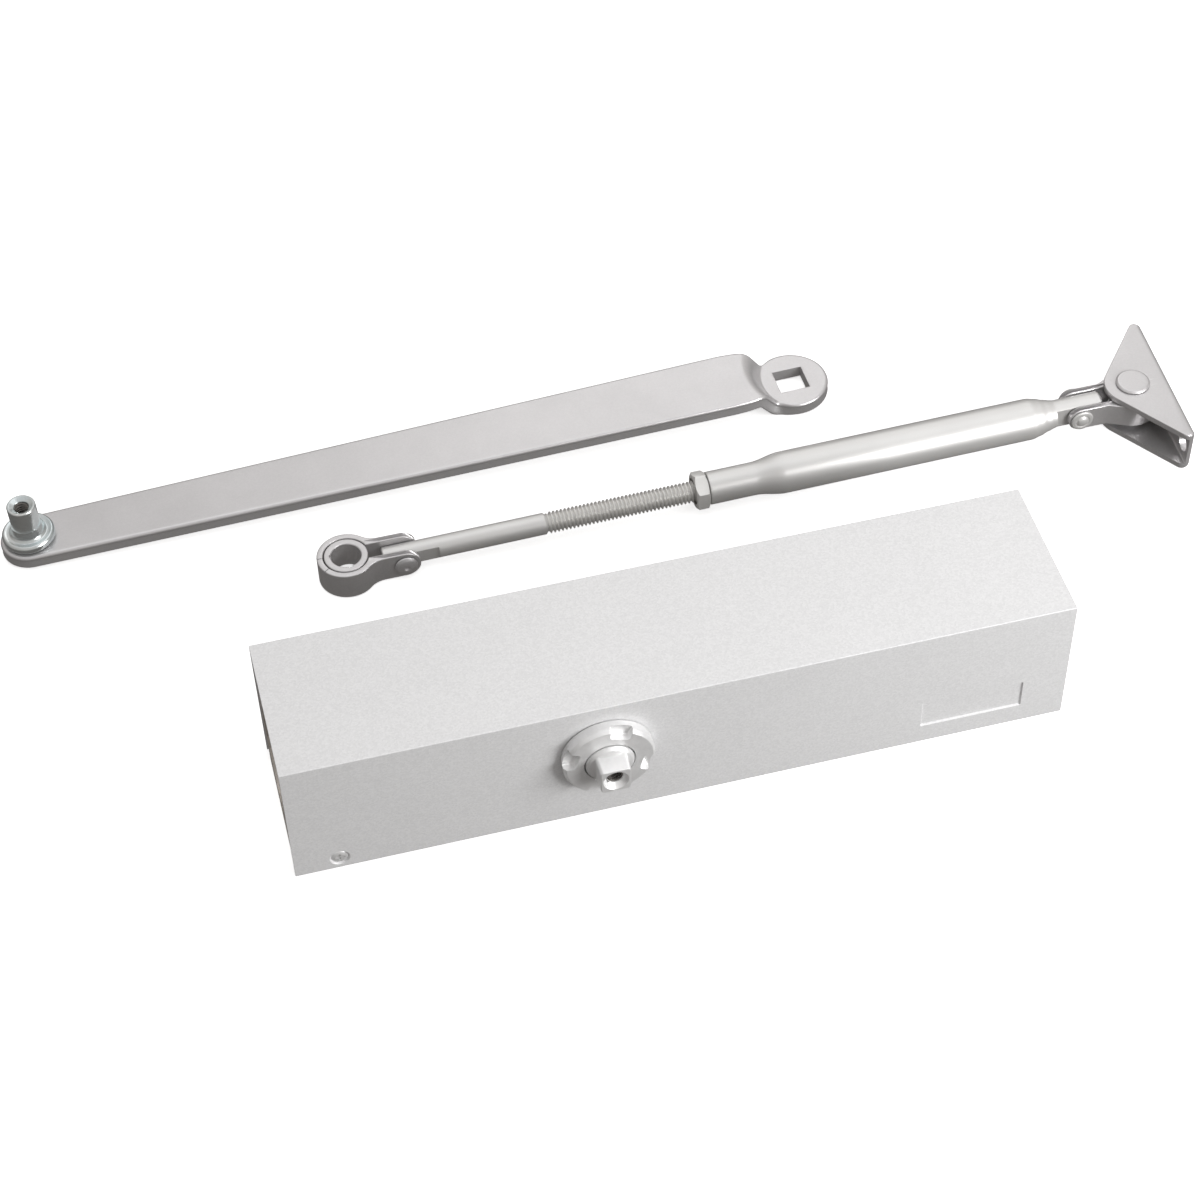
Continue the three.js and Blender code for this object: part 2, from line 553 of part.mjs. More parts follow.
function threadedRod() {
  const { radius, end, flatEnd, flat, innerEnd } = ROD;
  const bar = turned([[0, end], [radius - 0.4, end], [radius, end + 0.4], [radius, innerEnd - 0.8],
    [radius - 0.8, innerEnd], [0, innerEnd]], 'x', 24);
  return cut(bar, box(end - 1, flatEnd, flat, radius + 1, -radius - 1, radius + 1),
    box(end - 1, flatEnd, -radius - 1, -flat, -radius - 1, radius + 1),
    cylinder(RIVET.hole, -6, 6, 'y', 24));
}

function jamNut() {
  const { start, thickness, flats } = NUT;
  const corner = flats / Math.sqrt(3);
  const prism = solid(new THREE.CylinderGeometry(corner, corner, thickness, 6).rotateZ(-Math.PI / 2)
    .translate(start + thickness / 2, 0, 0));
  const chamfer = turned([[0, start], [flats * 0.47, start], [corner, start + 0.8],
    [corner, start + thickness - 0.8], [flats * 0.47, start + thickness], [0, start + thickness]], 'x', 28);
  return cut(prism.intersect(chamfer), cylinder(TUBE.boreRadius, start - 1, start + thickness + 1, 'x', 24));
}

// Swaged tube: reduced neck tapped for the rod, plain body, flatted tongue for the foot clevis.
function rodTube() {
  const { start, neckRadius, neckEnd, bodyStart, bodyRadius, bodyEnd, tongueStart, tongueRadius, tongueFlat,
    end, boreRadius, boreEnd } = TUBE;
  const body = turned([[0, start], [neckRadius, start], [neckRadius, neckEnd], [neckRadius + 0.5, neckEnd + 3],
    [bodyRadius - 0.5, bodyStart - 3], [bodyRadius, bodyStart], [bodyRadius, bodyEnd],
    [bodyRadius - 0.5, bodyEnd + 3], [tongueRadius + 0.5, tongueStart - 2], [tongueRadius, tongueStart],
    [tongueRadius, end - 0.6], [tongueRadius - 0.6, end], [0, end]], 'x', 24);
  return cut(body, cylinder(boreRadius, start - 1, boreEnd, 'x', 24),
    box(tongueStart, end + 1, tongueFlat, 9, -9, 9), box(tongueStart, end + 1, -9, -tongueFlat, -9, 9),
    cylinder(RIVET.hole, -9, 9, 'y', 24).translate(FOOT.rivet, 0, 0));
}

// U strap: two ears on the tongue's rivet and a loop round the foot's pivot. Drawn about the rivet.
function footClevis() {
  const { pivot, strap, earInner, loop, height } = FOOT;
  const earOuter = earInner + strap;
  const endRadius = height / 2;
  const leave = THREE.MathUtils.degToRad(118);
  const outer = new THREE.Shape();
  outer.moveTo(-endRadius - 1, -earOuter);
  outer.lineTo(pivot - loop - 1.2, -earOuter);
  outer.lineTo(pivot + loop * Math.cos(leave), -loop * Math.sin(leave));
  outer.absarc(pivot, 0, loop, -leave, leave);
  outer.lineTo(pivot - loop - 1.2, earOuter);
  outer.lineTo(-endRadius - 1, earOuter);
  const inside = join(cylinder(loop - strap, -20, 20, 'z', 28).translate(pivot, 0, 0),
    box(-endRadius - 2, pivot - 5, -earInner, earInner, -20, 20));
  const profile = join(box(0, pivot + loop + 1, -20, 20, -endRadius, endRadius),
    cylinder(endRadius, -20, 20, 'y'));
  return cut(raised(outer, -endRadius, endRadius, 14), inside, cylinder(RIVET.hole, -20, 20, 'y', 24))
    .intersect(profile);
}

// Folded triangular shoe: two flanges joined by a base plate with two screw holes. About the pivot.
function footBracket() {
  const { height, sheet, apex, base, halfLength, corner, hole, holeSpacing } = BRACKET;
  const cornerX = base - corner;
  const cornerY = halfLength - corner;
  const reach = Math.hypot(cornerX, cornerY);
  const tangent = Math.atan2(cornerY, cornerX) + Math.acos((apex - corner) / reach);
  const shape = new THREE.Shape();
  shape.moveTo(base, -cornerY);
  shape.absarc(cornerX, cornerY, corner, 0, tangent);
  shape.absarc(0, 0, apex, tangent, 2 * Math.PI - tangent);
  shape.absarc(cornerX, -cornerY, corner, -tangent, 0);
  const shoe = cut(raised(shape, 0, height, 7), box(-20, base - sheet, -40, 40, sheet, height - sheet),
    cylinder(FOOT.pin + GAP, -1, height + 1, 'z', 28));
  const holes = [-1, 1].map((side) => cylinder(hole, 0, base + 1, 'x', 24)
    .translate(0, side * holeSpacing / 2, height / 2));
  return cut(shoe, ...holes);
}

function footPivotRivet() {
  const { height } = BRACKET;
  const seat = height + GAP;
  return turned([[0, 0.1], [FOOT.pin, 0.1], [FOOT.pin, seat], [6.2, seat], [6.2, seat + 0.3],
    [5.6, seat + 0.8], [0, seat + 0.9]], 'z', 28);
}

const rodLine = new THREE.Group();
rodLine.position.set(ROD_LINE.x, ROD_LINE.y, 0);
rodLine.rotation.z = ROD_LINE.yaw;
closer.add(rodLine);

const yokePlace = new THREE.Group();
yokePlace.position.z = YOKE.base;
rodLine.add(yokePlace);
place(yokePlace, 'elbow_yoke', elbowYoke(), silverPaint());
place(yokePlace, 'elbow_bush', ring(BUSH.bore, BUSH.outer, 0, YOKE.height, 'z', 32), silverPaint());
place(yokePlace, 'yoke_rivet',
  jointRivet(YOKE.earOuter).translate(YOKE.rivet, 0, YOKE.height / 2), silverPaint());

const rodPlace = new THREE.Group();
rodPlace.position.set(YOKE.rivet, 0, yokeRivetHeight);
rodPlace.rotation.y = -rodPitch;
rodLine.add(rodPlace);
place(rodPlace, 'threaded_rod', threadedRod(), silverPaint());
place(rodPlace, 'jam_nut', jamNut(), silverPaint());
place(rodPlace, 'rod_tube', rodTube(), silverPaint());

const footPlace = new THREE.Group();
footPlace.position.set(YOKE.rivet + FOOT.rivet * Math.cos(rodPitch), 0, FOOT.rivetHeight);
rodLine.add(footPlace);
place(footPlace, 'foot_clevis', footClevis(), silverPaint());
place(footPlace, 'foot_clevis_rivet', jointRivet(FOOT.earInner + FOOT.strap), silverPaint());

const bracketPlace = new THREE.Group();
bracketPlace.position.set(footPlace.position.x + FOOT.pivot, 0, 0);
bracketPlace.rotation.z = BRACKET.yaw;
rodLine.add(bracketPlace);
place(bracketPlace, 'foot_bracket', footBracket(), silverPaint());
place(bracketPlace, 'foot_pivot_rivet', footPivotRivet(), silverPaint());
place(bracketPlace, 'foot_pivot_spacer', ring(FOOT.pin + GAP, FOOT.spacer, BRACKET.sheet + GAP,
  BRACKET.height - BRACKET.sheet - GAP, 'z', 28), darkSteel());

export default closer;
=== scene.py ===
"""Surface-mounted door closer with its loose main arm and adjustable rod: the visual model.
Shapes are drawn in millimetres in each piece's own frame, then placed in metres in the row frame."""

import math

import bmesh
import bpy
import numpy as np
from mathutils import Matrix, Vector
from mathutils.geometry import tessellate_polygon


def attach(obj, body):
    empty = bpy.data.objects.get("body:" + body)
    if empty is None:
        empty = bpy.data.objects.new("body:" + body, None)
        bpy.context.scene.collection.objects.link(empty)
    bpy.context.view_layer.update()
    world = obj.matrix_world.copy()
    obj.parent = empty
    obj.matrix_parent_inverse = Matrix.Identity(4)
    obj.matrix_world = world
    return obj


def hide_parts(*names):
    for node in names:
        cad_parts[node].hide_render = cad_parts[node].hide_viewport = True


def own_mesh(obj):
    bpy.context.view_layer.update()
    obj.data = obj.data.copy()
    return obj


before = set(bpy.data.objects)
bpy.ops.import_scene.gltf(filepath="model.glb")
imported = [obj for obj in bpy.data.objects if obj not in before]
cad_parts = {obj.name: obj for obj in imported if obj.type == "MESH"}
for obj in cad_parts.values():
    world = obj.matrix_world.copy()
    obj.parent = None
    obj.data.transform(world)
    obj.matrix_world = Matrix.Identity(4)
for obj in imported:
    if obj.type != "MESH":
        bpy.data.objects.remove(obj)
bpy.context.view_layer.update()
scene = bpy.context.scene
MM = 0.001

# ---------------------------------------------------------------- places (millimetres, as in the CAD)
COVER_LENGTH, COVER_WIDTH, COVER_HEIGHT, COVER_SHEET = 260, 55, 52, 1.2
COVER_SCREW_X, COVER_SCREW_Z = -115.1, 4.9
BADGE_X, BADGE_Z = 97.4, 13.8
SPINDLE_X, SPINDLE_Z = -26.6, 30.6
BORE_Z = 27
ARM_CENTRES, ARM_THICKNESS, ARM_OFFSET, ARM_BOSS, ARM_END, ARM_NECK = 283.4, 5, 7, 13.8, 10.5, 13.7
YOKE_RIVET_X, ROD_LENGTH, FOOT_PIVOT = 20, 251.3, 21.1  # along the rod line
YOKE_AXIS_Z, FOOT_AXIS_Z, ROD_RISE = 5.5, 9.4, 3.9
RIVET_HOLE = 2.3
ROD_PITCH = math.asin(ROD_RISE / ROD_LENGTH)
ARM_TILT = math.atan2(5.7, 274.2)

move = Matrix.Translation
turn = Matrix.Rotation
TO_FRONT = turn(math.radians(90), 4, "X")  # local +Z to -Y
TO_Y = turn(math.radians(-90), 4, "X")  # local +Z to +Y
TO_X = turn(math.radians(90), 4, "Y")  # local +Z to +X
QUARTER = turn(math.radians(90), 4, "Z")  # local +X to +Y
ON_SPINDLE = move((SPINDLE_X, 0, SPINDLE_Z)) @ TO_FRONT
ON_COVER_SCREW = move((COVER_SCREW_X, 0, COVER_SCREW_Z)) @ TO_FRONT
ARM = move((88.3, 144.1, ARM_BOSS * math.sin(ARM_TILT) + 0.02)) @ turn(math.radians(1.15), 4, "Z") \
    @ turn(-ARM_TILT, 4, "Y")
ROD_LINE = move((-89, 95.8, 0)) @ turn(math.radians(0.33), 4, "Z")
YOKE = ROD_LINE @ move((0, 0, 0.1))
FOOT_X = YOKE_RIVET_X + ROD_LENGTH * math.cos(ROD_PITCH)
ROD = ROD_LINE @ move((YOKE_RIVET_X, 0, YOKE_AXIS_Z)) @ turn(-ROD_PITCH, 4, "Y")
FOOT = ROD_LINE @ move((FOOT_X, 0, FOOT_AXIS_Z))
BRACKET = ROD_LINE @ move((FOOT_X + FOOT_PIVOT, 0, 0)) @ turn(math.radians(-2.5), 4, "Z")


# ---------------------------------------------------------------- shape tools
def solid(verts, faces, name="shape"):
    """A mesh object from points and faces, welded, with its faces turned outward."""
    mesh = bpy.data.meshes.new(name)
    mesh.from_pydata([tuple(map(float, v)) for v in verts], [], [list(map(int, f)) for f in faces])
    bm = bmesh.new()
    bm.from_mesh(mesh)
    bmesh.ops.remove_doubles(bm, verts=bm.verts, dist=1e-4)
    bmesh.ops.dissolve_degenerate(bm, edges=bm.edges, dist=1e-5)
    bmesh.ops.recalc_face_normals(bm, faces=bm.faces)
    bm.to_mesh(mesh)
    bm.free()
    obj = bpy.data.objects.new(name, mesh)
    scene.collection.objects.link(obj)
    return obj


def settle(obj):
    """Turns the object's modifiers into its mesh."""
    bpy.context.view_layer.update()
    mesh = bpy.data.meshes.new_from_object(obj.evaluated_get(bpy.context.evaluated_depsgraph_get()))
    obj.modifiers.clear()
    obj.data = mesh
    return obj


def combine(obj, tools, operation):
    for tool in tools:
        modifier = obj.modifiers.new("combine", "BOOLEAN")
        modifier.object, modifier.operation, modifier.solver = tool, operation, "EXACT"
    settle(obj)
    for tool in tools:
        bpy.data.objects.remove(tool)
    return obj


def cut(obj, *tools):
    return combine(obj, tools, "DIFFERENCE")


def common(obj, *tools):
    return combine(obj, tools, "INTERSECT")


def moved(obj, matrix):
    """Applies a matrix to the mesh itself, keeping its faces outward where the matrix mirrors."""
    obj.data.transform(matrix)
    if matrix.determinant() < 0:
        obj.data.flip_normals()
    return obj


def fillet(points, closed=True, steps=4):
    """Rounds the corners of an outline: each point is (x, y) or (x, y, radius)."""
    out = []
    n = len(points)
    for i, point in enumerate(points):
        p = np.array(point[:2], float)
        radius = point[2] if len(point) > 2 else 0
        if radius <= 0 or (not closed and i in (0, n - 1)):
            out.append(p)
            continue
        a = np.array(points[i - 1][:2], float) - p
        b = np.array(points[(i + 1) % n][:2], float) - p
        la, lb = np.linalg.norm(a), np.linalg.norm(b)
        a, b = a / la, b / lb
        half = math.acos(np.clip(a @ b, -1, 1)) / 2
        if half > math.radians(89):
            out.append(p)
            continue
        reach = min(radius / math.tan(half), 0.49 * la, 0.49 * lb)
        radius = reach * math.tan(half)
        centre = p + (a + b) / np.linalg.norm(a + b) * radius / math.sin(half)
        start, end = p + a * reach - centre, p + b * reach - centre
        sweep = math.pi - 2 * half
        for k in range(steps + 1):
            t = k / steps
            between = math.sin((1 - t) * sweep) * start + math.sin(t * sweep) * end
            out.append(centre + between / math.sin(sweep))
    return np.array(out)


def curve(p0, p1, p2, steps):
    """Points on a quadratic curve from p0 to p2, with p0 itself left out."""
    p0, p1, p2 = (np.array(p, float) for p in (p0, p1, p2))
    return [(1 - t) ** 2 * p0 + 2 * t * (1 - t) * p1 + t * t * p2
            for t in np.linspace(0, 1, steps + 1)[1:]]


def lathe(points, segments=96, closed=False, steps=4):
    """Turns a profile of (radius, along[, fillet]) about local Z; an open one starts and ends on the axis."""
    profile = fillet(points, closed, steps)
    angle = np.linspace(0, 2 * math.pi, segments, endpoint=False)
    verts = np.concatenate([np.stack([r * np.cos(angle), r * np.sin(angle), np.full(segments, z)], 1)
                            for r, z in profile])
    faces = []
    rows = len(profile)
    for i in range(rows if closed else rows - 1):
        j = (i + 1) % rows
        for k in range(segments):
            m = (k + 1) % segments
            quad = [i * segments + k, i * segments + m, j * segments + m, j * segments + k]
            if profile[i][0] < 1e-6:
                quad = [i * segments, quad[2], quad[3]]
            elif profile[j][0] < 1e-6:
                quad = [quad[0], quad[1], j * segments]
            faces.append(quad)
    return solid(verts, faces)


def normals_of(loop):
    """Offset direction at each point of a closed outline, outward for a counter-clockwise one."""
    before, after = loop - np.roll(loop, 1, 0), np.roll(loop, -1, 0) - loop
    before /= np.linalg.norm(before, axis=1)[:, None]
    after /= np.linalg.norm(after, axis=1)[:, None]
    a = np.stack([before[:, 1], -before[:, 0]], 1)
    b = np.stack([after[:, 1], -after[:, 0]], 1)
    return (a + b) / (1 + np.clip((a * b).sum(1), -0.5, 1))[:, None]


def plate(loops, z0, z1, edge=0.3, steps=3, taper=1.0):
    """A flat plate with rounded rims. The first outline is the outside (counter-clockwise), the others are
    holes (clockwise). edge is one radius, or one per point of the first outline. taper scales the top."""
    faces, verts, caps = [], [], ([], [])
    for index, loop in enumerate(loops):
        loop = np.array(loop, float)
        radius = np.asarray(edge, float) if index == 0 else np.asarray(np.min(edge), float)
        radius = np.broadcast_to(radius, len(loop))[:, None]
        out = normals_of(loop)
        levels = []
        for side, z, sign in ((0, z0, 1), (1, z1, -1)):
            turns = np.linspace(0, math.pi / 2, steps + 1)
            for phi in (turns if side == 0 else turns[::-1]):
                scale = taper if side else 1.0
                flat = (loop - out * radius * (1 - math.sin(phi))) * scale
                levels.append(np.hstack([flat, z + sign * radius * (1 - math.cos(phi))]))
        base = len(verts)
        n = len(loop)
        for level in levels:
            verts.extend(level)
        for i in range(len(levels) - 1):
            for k in range(n):
                m = (k + 1) % n
                low, high = base + i * n, base + (i + 1) * n
                faces.append([low + k, low + m, high + m, high + k])
        caps[0].append((base, levels[0]))
        caps[1].append((base + (len(levels) - 1) * n, levels[-1]))
    for cap in caps:
        index = [start + k for start, level in cap for k in range(len(level))]
        for triangle in tessellate_polygon([[Vector((p[0], p[1], 0)) for p in level] for _, level in cap]):
            faces.append([index[i] for i in triangle])
    return solid(verts, faces)


def rod_shape(radius, z0, z1, segments=96):
    return lathe([(0, z0), (radius, z0), (radius, z1), (0, z1)], segments)


def block(x0, x1, y0, y1, z0, z1):
    return plate([[(x0, y0), (x1, y0), (x1, y1), (x0, y1)]], z0, z1, edge=1e-3, steps=1)


def helix(root, crest, z0, z1, pitch, per_turn=30, width=0.94, crest_width=0.2):
    """One thread ridge wound about local Z. root and crest are radii; the ends run out to the root."""
    turns = (z1 - z0) / pitch
    count = int(turns * per_turn)
    shape = [(-width / 2, 0), (-crest_width / 2 - 0.06, 0.86), (-crest_width / 2, 1), (crest_width / 2, 1),
             (crest_width / 2 + 0.06, 0.86), (width / 2, 0)]
    verts, faces = [], []
    m = len(shape)
    for i in range(count + 1):
        angle = 2 * math.pi * i / per_turn
        fade = min(1, i / (per_turn * 0.8), (count - i) / (per_turn * 0.8))
        for across, up in shape:
            r = root + (crest - root) * (up * fade if up else -0.08)
            z = z0 + pitch * i / per_turn + across * pitch * (0.35 + 0.65 * fade if up else 1)
            verts.append((r * math.cos(angle), r * math.sin(angle), z))
    for i in range(count):
        for k in range(m):
            n = (k + 1) % m
            faces.append([i * m + k, i * m + n, (i + 1) * m + n, (i + 1) * m + k])
    faces.append(list(range(m))[::-1])
    faces.append([count * m + k for k in range(m)])
    return solid(verts, faces)


def bevelled(obj, width, segments=2, angle=40):
    modifier = obj.modifiers.new("rim", "BEVEL")
    modifier.width, modifier.segments, modifier.limit_method = width, segments, "ANGLE"
    modifier.angle_limit, modifier.use_clamp_overlap = math.radians(angle), True
    return settle(obj)


def piece(name, parts, body, node, material, place=Matrix.Identity(4), sharp=38):
    """Joins shapes, places them in the row frame, smooths them and lets them stand for a CAD node."""
    bm = bmesh.new()
    for part in parts:
        bm.from_mesh(part.data)
        bpy.data.objects.remove(part)
    mesh = bpy.data.meshes.new(name)
    bm.to_mesh(mesh)
    bm.free()
    mesh.transform(Matrix.Diagonal((MM, MM, MM, 1)) @ place)
    mesh.polygons.foreach_set("use_smooth", [True] * len(mesh.polygons))
    mesh.set_sharp_from_angle(angle=math.radians(sharp))
    obj = bpy.data.objects.new(name, mesh)
    scene.collection.objects.link(obj)
    obj.modifiers.new("normals", "WEIGHTED_NORMAL").keep_sharp = True
    mesh.materials.append(material)
    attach(obj, body)
    if node:
        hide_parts(node)
    return obj


# ---------------------------------------------------------------- materials
def metal(name, colour, metallic, roughness, grain=1500, mottle=0.05, bump=0.03, bump_depth=0.00004,
          cloud=60, cloud_mottle=0.03, rough_spread=0.08, coat=0.0, flake=0.0, warm=None):
    """Painted or plated metal: fine grain, broad cloudiness, varied gloss and a fine bump."""
    material = bpy.data.materials.new(name)
    material.use_nodes = True
    nodes, links = material.node_tree.nodes, material.node_tree.links
    shader = nodes["Principled BSDF"]
    shader.inputs["Metallic"].default_value = metallic
    shader.inputs["Coat Weight"].default_value = coat
    shader.inputs["Coat Roughness"].default_value = 0.12
    where = nodes.new("ShaderNodeTexCoord").outputs["Object"]

    def noise(scale, detail=3.0, rough=0.6):
        node = nodes.new("ShaderNodeTexNoise")
        node.inputs["Scale"].default_value = scale
        node.inputs["Detail"].default_value = detail
        node.inputs["Roughness"].default_value = rough
        links.new(where, node.inputs["Vector"])
        return node.outputs["Fac"]

    def span(value, low, high, lo_in=0.3, hi_in=0.7):
        node = nodes.new("ShaderNodeMapRange")
        node.inputs["From Min"].default_value, node.inputs["From Max"].default_value = lo_in, hi_in
        node.inputs["To Min"].default_value, node.inputs["To Max"].default_value = low, high
        links.new(value, node.inputs["Value"])
        return node.outputs["Result"]

    def times(a, b):
        node = nodes.new("ShaderNodeMath")
        node.operation = "MULTIPLY"
        links.new(a, node.inputs[0])
        links.new(b, node.inputs[1])
        return node.outputs[0]

    fine, broad = noise(grain), noise(cloud, 2.0)
    level = times(span(fine, 1 - mottle, 1 + mottle), span(broad, 1 - cloud_mottle, 1 + cloud_mottle))
    tint = nodes.new("ShaderNodeMix")
    tint.data_type = "RGBA"
    tint.inputs["A"].default_value = (*(warm or colour), 1)
    tint.inputs["B"].default_value = (*colour, 1)
    links.new(span(noise(cloud * 0.4, 2.0), 0, 1), tint.inputs["Factor"])
    shade = nodes.new("ShaderNodeVectorMath")
    shade.operation = "SCALE"
    links.new(tint.outputs["Result"], shade.inputs[0])
    links.new(level, shade.inputs["Scale"])
    result = shade.outputs[0]
    if flake:
        cells = nodes.new("ShaderNodeTexVoronoi")
        cells.inputs["Scale"].default_value = grain * 0.8
        links.new(where, cells.inputs["Vector"])
        pick = nodes.new("ShaderNodeSeparateColor")
        links.new(cells.outputs["Color"], pick.inputs[0])
        bright = nodes.new("ShaderNodeVectorMath")
        bright.operation = "SCALE"
        links.new(result, bright.inputs[0])
        links.new(span(pick.outputs[0], 1 - flake, 1 + flake, 0, 1), bright.inputs["Scale"])
        result = bright.outputs[0]
    links.new(result, shader.inputs["Base Color"])
    links.new(span(fine, roughness - rough_spread, roughness + rough_spread), shader.inputs["Roughness"])
    relief = nodes.new("ShaderNodeBump")
    relief.inputs["Strength"].default_value = bump
    relief.inputs["Distance"].default_value = bump_depth
    links.new(fine, relief.inputs["Height"])
    links.new(relief.outputs["Normal"], shader.inputs["Normal"])
    return material


cover_paint = metal("cover_flake_paint", (0.70, 0.70, 0.705), 0.12, 0.5, grain=2100, mottle=0.03, bump=0.16,
                    cloud=30, cloud_mottle=0.01, flake=0.05, rough_spread=0.08)
arm_paint = metal("arm_silver_paint", (0.62, 0.61, 0.615), 0.75, 0.36, grain=2400, mottle=0.02, bump=0.08,
                  cloud=45, cloud_mottle=0.03, flake=0.02)
rod_paint = metal("rod_silver_paint", (0.68, 0.675, 0.665), 0.6, 0.4, grain=2600, mottle=0.015, bump=0.05,
                  cloud=50, cloud_mottle=0.02, rough_spread=0.03)
bright_plate = metal("bright_plate", (0.80, 0.80, 0.80), 0.5, 0.4, grain=900, mottle=0.02, bump=0.08,
                     cloud=180, cloud_mottle=0.05, rough_spread=0.07)
zinc_plate = metal("blue_zinc_plate", (0.62, 0.69, 0.71), 0.95, 0.24, grain=1300, mottle=0.02, bump=0.02,
                   cloud=120, cloud_mottle=0.05, rough_spread=0.03, warm=(0.70, 0.71, 0.70))
nut_plate = metal("nut_plate", (0.74, 0.735, 0.72), 0.4, 0.38, grain=2000, mottle=0.02, bump=0.05)
thread_steel = metal("rod_thread_plate", (0.74, 0.73, 0.71), 0.6, 0.36, grain=2200, mottle=0.02, bump=0.02,
                     rough_spread=0.03)
dark_thread = metal("dark_thread", (0.16, 0.15, 0.14), 0.8, 0.3, grain=1500, mottle=0.05)
cast_metal = metal("cast_aluminium", (0.60, 0.55, 0.49), 0.85, 0.42, grain=700, mottle=0.12, bump=0.6,
                   bump_depth=0.0001, cloud=90, cloud_mottle=0.1, rough_spread=0.12, warm=(0.66, 0.62, 0.58))
machined = metal("machined_steel", (0.55, 0.54, 0.53), 1.0, 0.3, grain=1800, mottle=0.05, bump=0.15,
                 cloud=110, cloud_mottle=0.06)
oiled_steel = metal("oiled_steel", (0.26, 0.26, 0.27), 1.0, 0.3, grain=1100, mottle=0.08, bump=0.2,
                    cloud=80, cloud_mottle=0.1, coat=0.3)
nitrile = metal("black_nitrile", (0.022, 0.022, 0.024), 0.0, 0.55, grain=1600, mottle=0.15, bump=0.2,
                cloud=200, cloud_mottle=0.1)

inside = {oiled_steel: ["piston", "check_valve_retainer", "check_valve_ball", "front_bearing", "rear_bearing",
                        "foot_pivot_spacer"],
          nitrile: ["left_plug_o_ring", "right_plug_o_ring", "bearing_cap_o_ring", "spindle_seal",
                    "closing_valve_o_ring", "latching_valve_o_ring"],
          machined: ["closing_speed_valve", "latching_speed_valve", "left_end_plug", "right_end_plug"],
          cast_metal: ["housing"],
          cover_paint: ["cover"], arm_paint: ["main_arm", "foot_bracket", "foot_clevis", "elbow_yoke"],
          rod_paint: ["threaded_rod", "jam_nut", "rod_tube", "elbow_bush", "yoke_rivet", "foot_clevis_rivet",
                      "foot_pivot_rivet"],
          bright_plate: ["cover_screw", "front_bearing_cap", "spindle"], zinc_plate: ["elbow_stud"]}
for material, names in inside.items():
    for node_name in names:
        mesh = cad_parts[node_name].data
        mesh.materials.clear()
        mesh.materials.append(material)


# ---------------------------------------------------------------- closer body
def cover():
    """Folded sheet cover, with the hole for the bearing cap, a screw recess and a blank badge recess."""
    side, top, inner = COVER_WIDTH / 2, COVER_HEIGHT, COVER_WIDTH / 2 - COVER_SHEET
    section = fillet([(-side, 0, .2), (-inner, 0, .2), (-inner, top - COVER_SHEET, .4),
                      (inner, top - COVER_SHEET, .4), (inner, 0, .2), (side, 0, .2), (side, top, .35),
                      (-side, top, .35)], steps=5)
    shell = plate([section], -COVER_LENGTH / 2, COVER_LENGTH / 2, edge=0.14, steps=2)
    moved(shell, Matrix(((0, 0, 1, 0), (1, 0, 0, 0), (0, 1, 0, 0), (0, 0, 0, 1))))
    hole = moved(rod_shape(13.2, 22, 33), ON_SPINDLE)
    recess = [(0, 24), (1.9, 24), (1.9, 26.6), (2.95, 26.8), (3.15, 27.3), (3.5, 27.6), (3.5, 29), (0, 29)]
    screw = moved(lathe(recess), ON_COVER_SCREW)
    badge_half_width, badge_half_height, slope = 17.5, 5.9, 0.4

    def rectangle(inset, radius):
        x, y = badge_half_width - inset, badge_half_height - inset
        return fillet([(-x, -y, radius), (x, -y, radius), (x, y, radius), (-x, y, radius)])

    outer, bottom = rectangle(0, 0.5), rectangle(slope, 0.3)
    n = len(outer)
    verts = [(x, y, 26.9) for x, y in bottom] + [(x, y, 27.55) for x, y in outer] + \
            [(x, y, 29) for x, y in outer]
    faces = [list(range(n))[::-1], [2 * n + k for k in range(n)]]
    for row in (0, n):
        faces += [[row + k, row + (k + 1) % n, row + n + (k + 1) % n, row + n + k] for k in range(n)]
    badge = moved(solid(verts, faces), move((BADGE_X, 0, BADGE_Z)) @ TO_FRONT)
    cut(shell, hole, screw, badge)
    piece("cover_shell", [shell], "closer_body", "cover", cover_paint, sharp=30)


def cover_screw():
    head = lathe([(0, 27.45), (1.6, 27.42, .3), (2.35, 27.15, .3), (2.7, 26.9, .1), (2.7, 27.0 - 0.3, .1),
                  (1.5, 26.6), (1.5, 15), (0, 15)], 48)
    slot = cut(head, block(-1.7, 1.7, -.33, .33, 26.9, 28), block(-.33, .33, -1.7, 1.7, 26.9, 28))
    piece("cover_screw_head", [slot], "closer_body", "cover_screw", bright_plate,
          ON_COVER_SCREW)


def bearing_cap():
    """Bearing cap: tapered flange, flat face and four pockets for the spanner."""
    body = lathe([(8.4, 32.5, .35), (14.3, 32.5, .5), (15.1, 31.2, .6), (15.1, 27.8, .15), (12.5, 27.8),
                  (12.5, 22.5, .3), (8.4, 22.5, .3)], 144, closed=True)
    pockets = []
    for i in range(4):
        profile = fillet([(10.9, -3.3, 1.2), (17, -4.1), (17, 4.1), (10.9, 3.3, 1.2)], steps=5)
        pocket = plate([profile], 29.9, 33.6, edge=0.5, steps=3)
        pockets.append(moved(pocket, turn(math.radians(-17 + 90 * i), 4, "Z")))
    cut(body, *pockets)
    bevelled(body, 0.22, 2, 42)
    piece("bearing_cap_flange", [body], "closer_body", "front_bearing_cap", bright_plate,
          ON_SPINDLE)


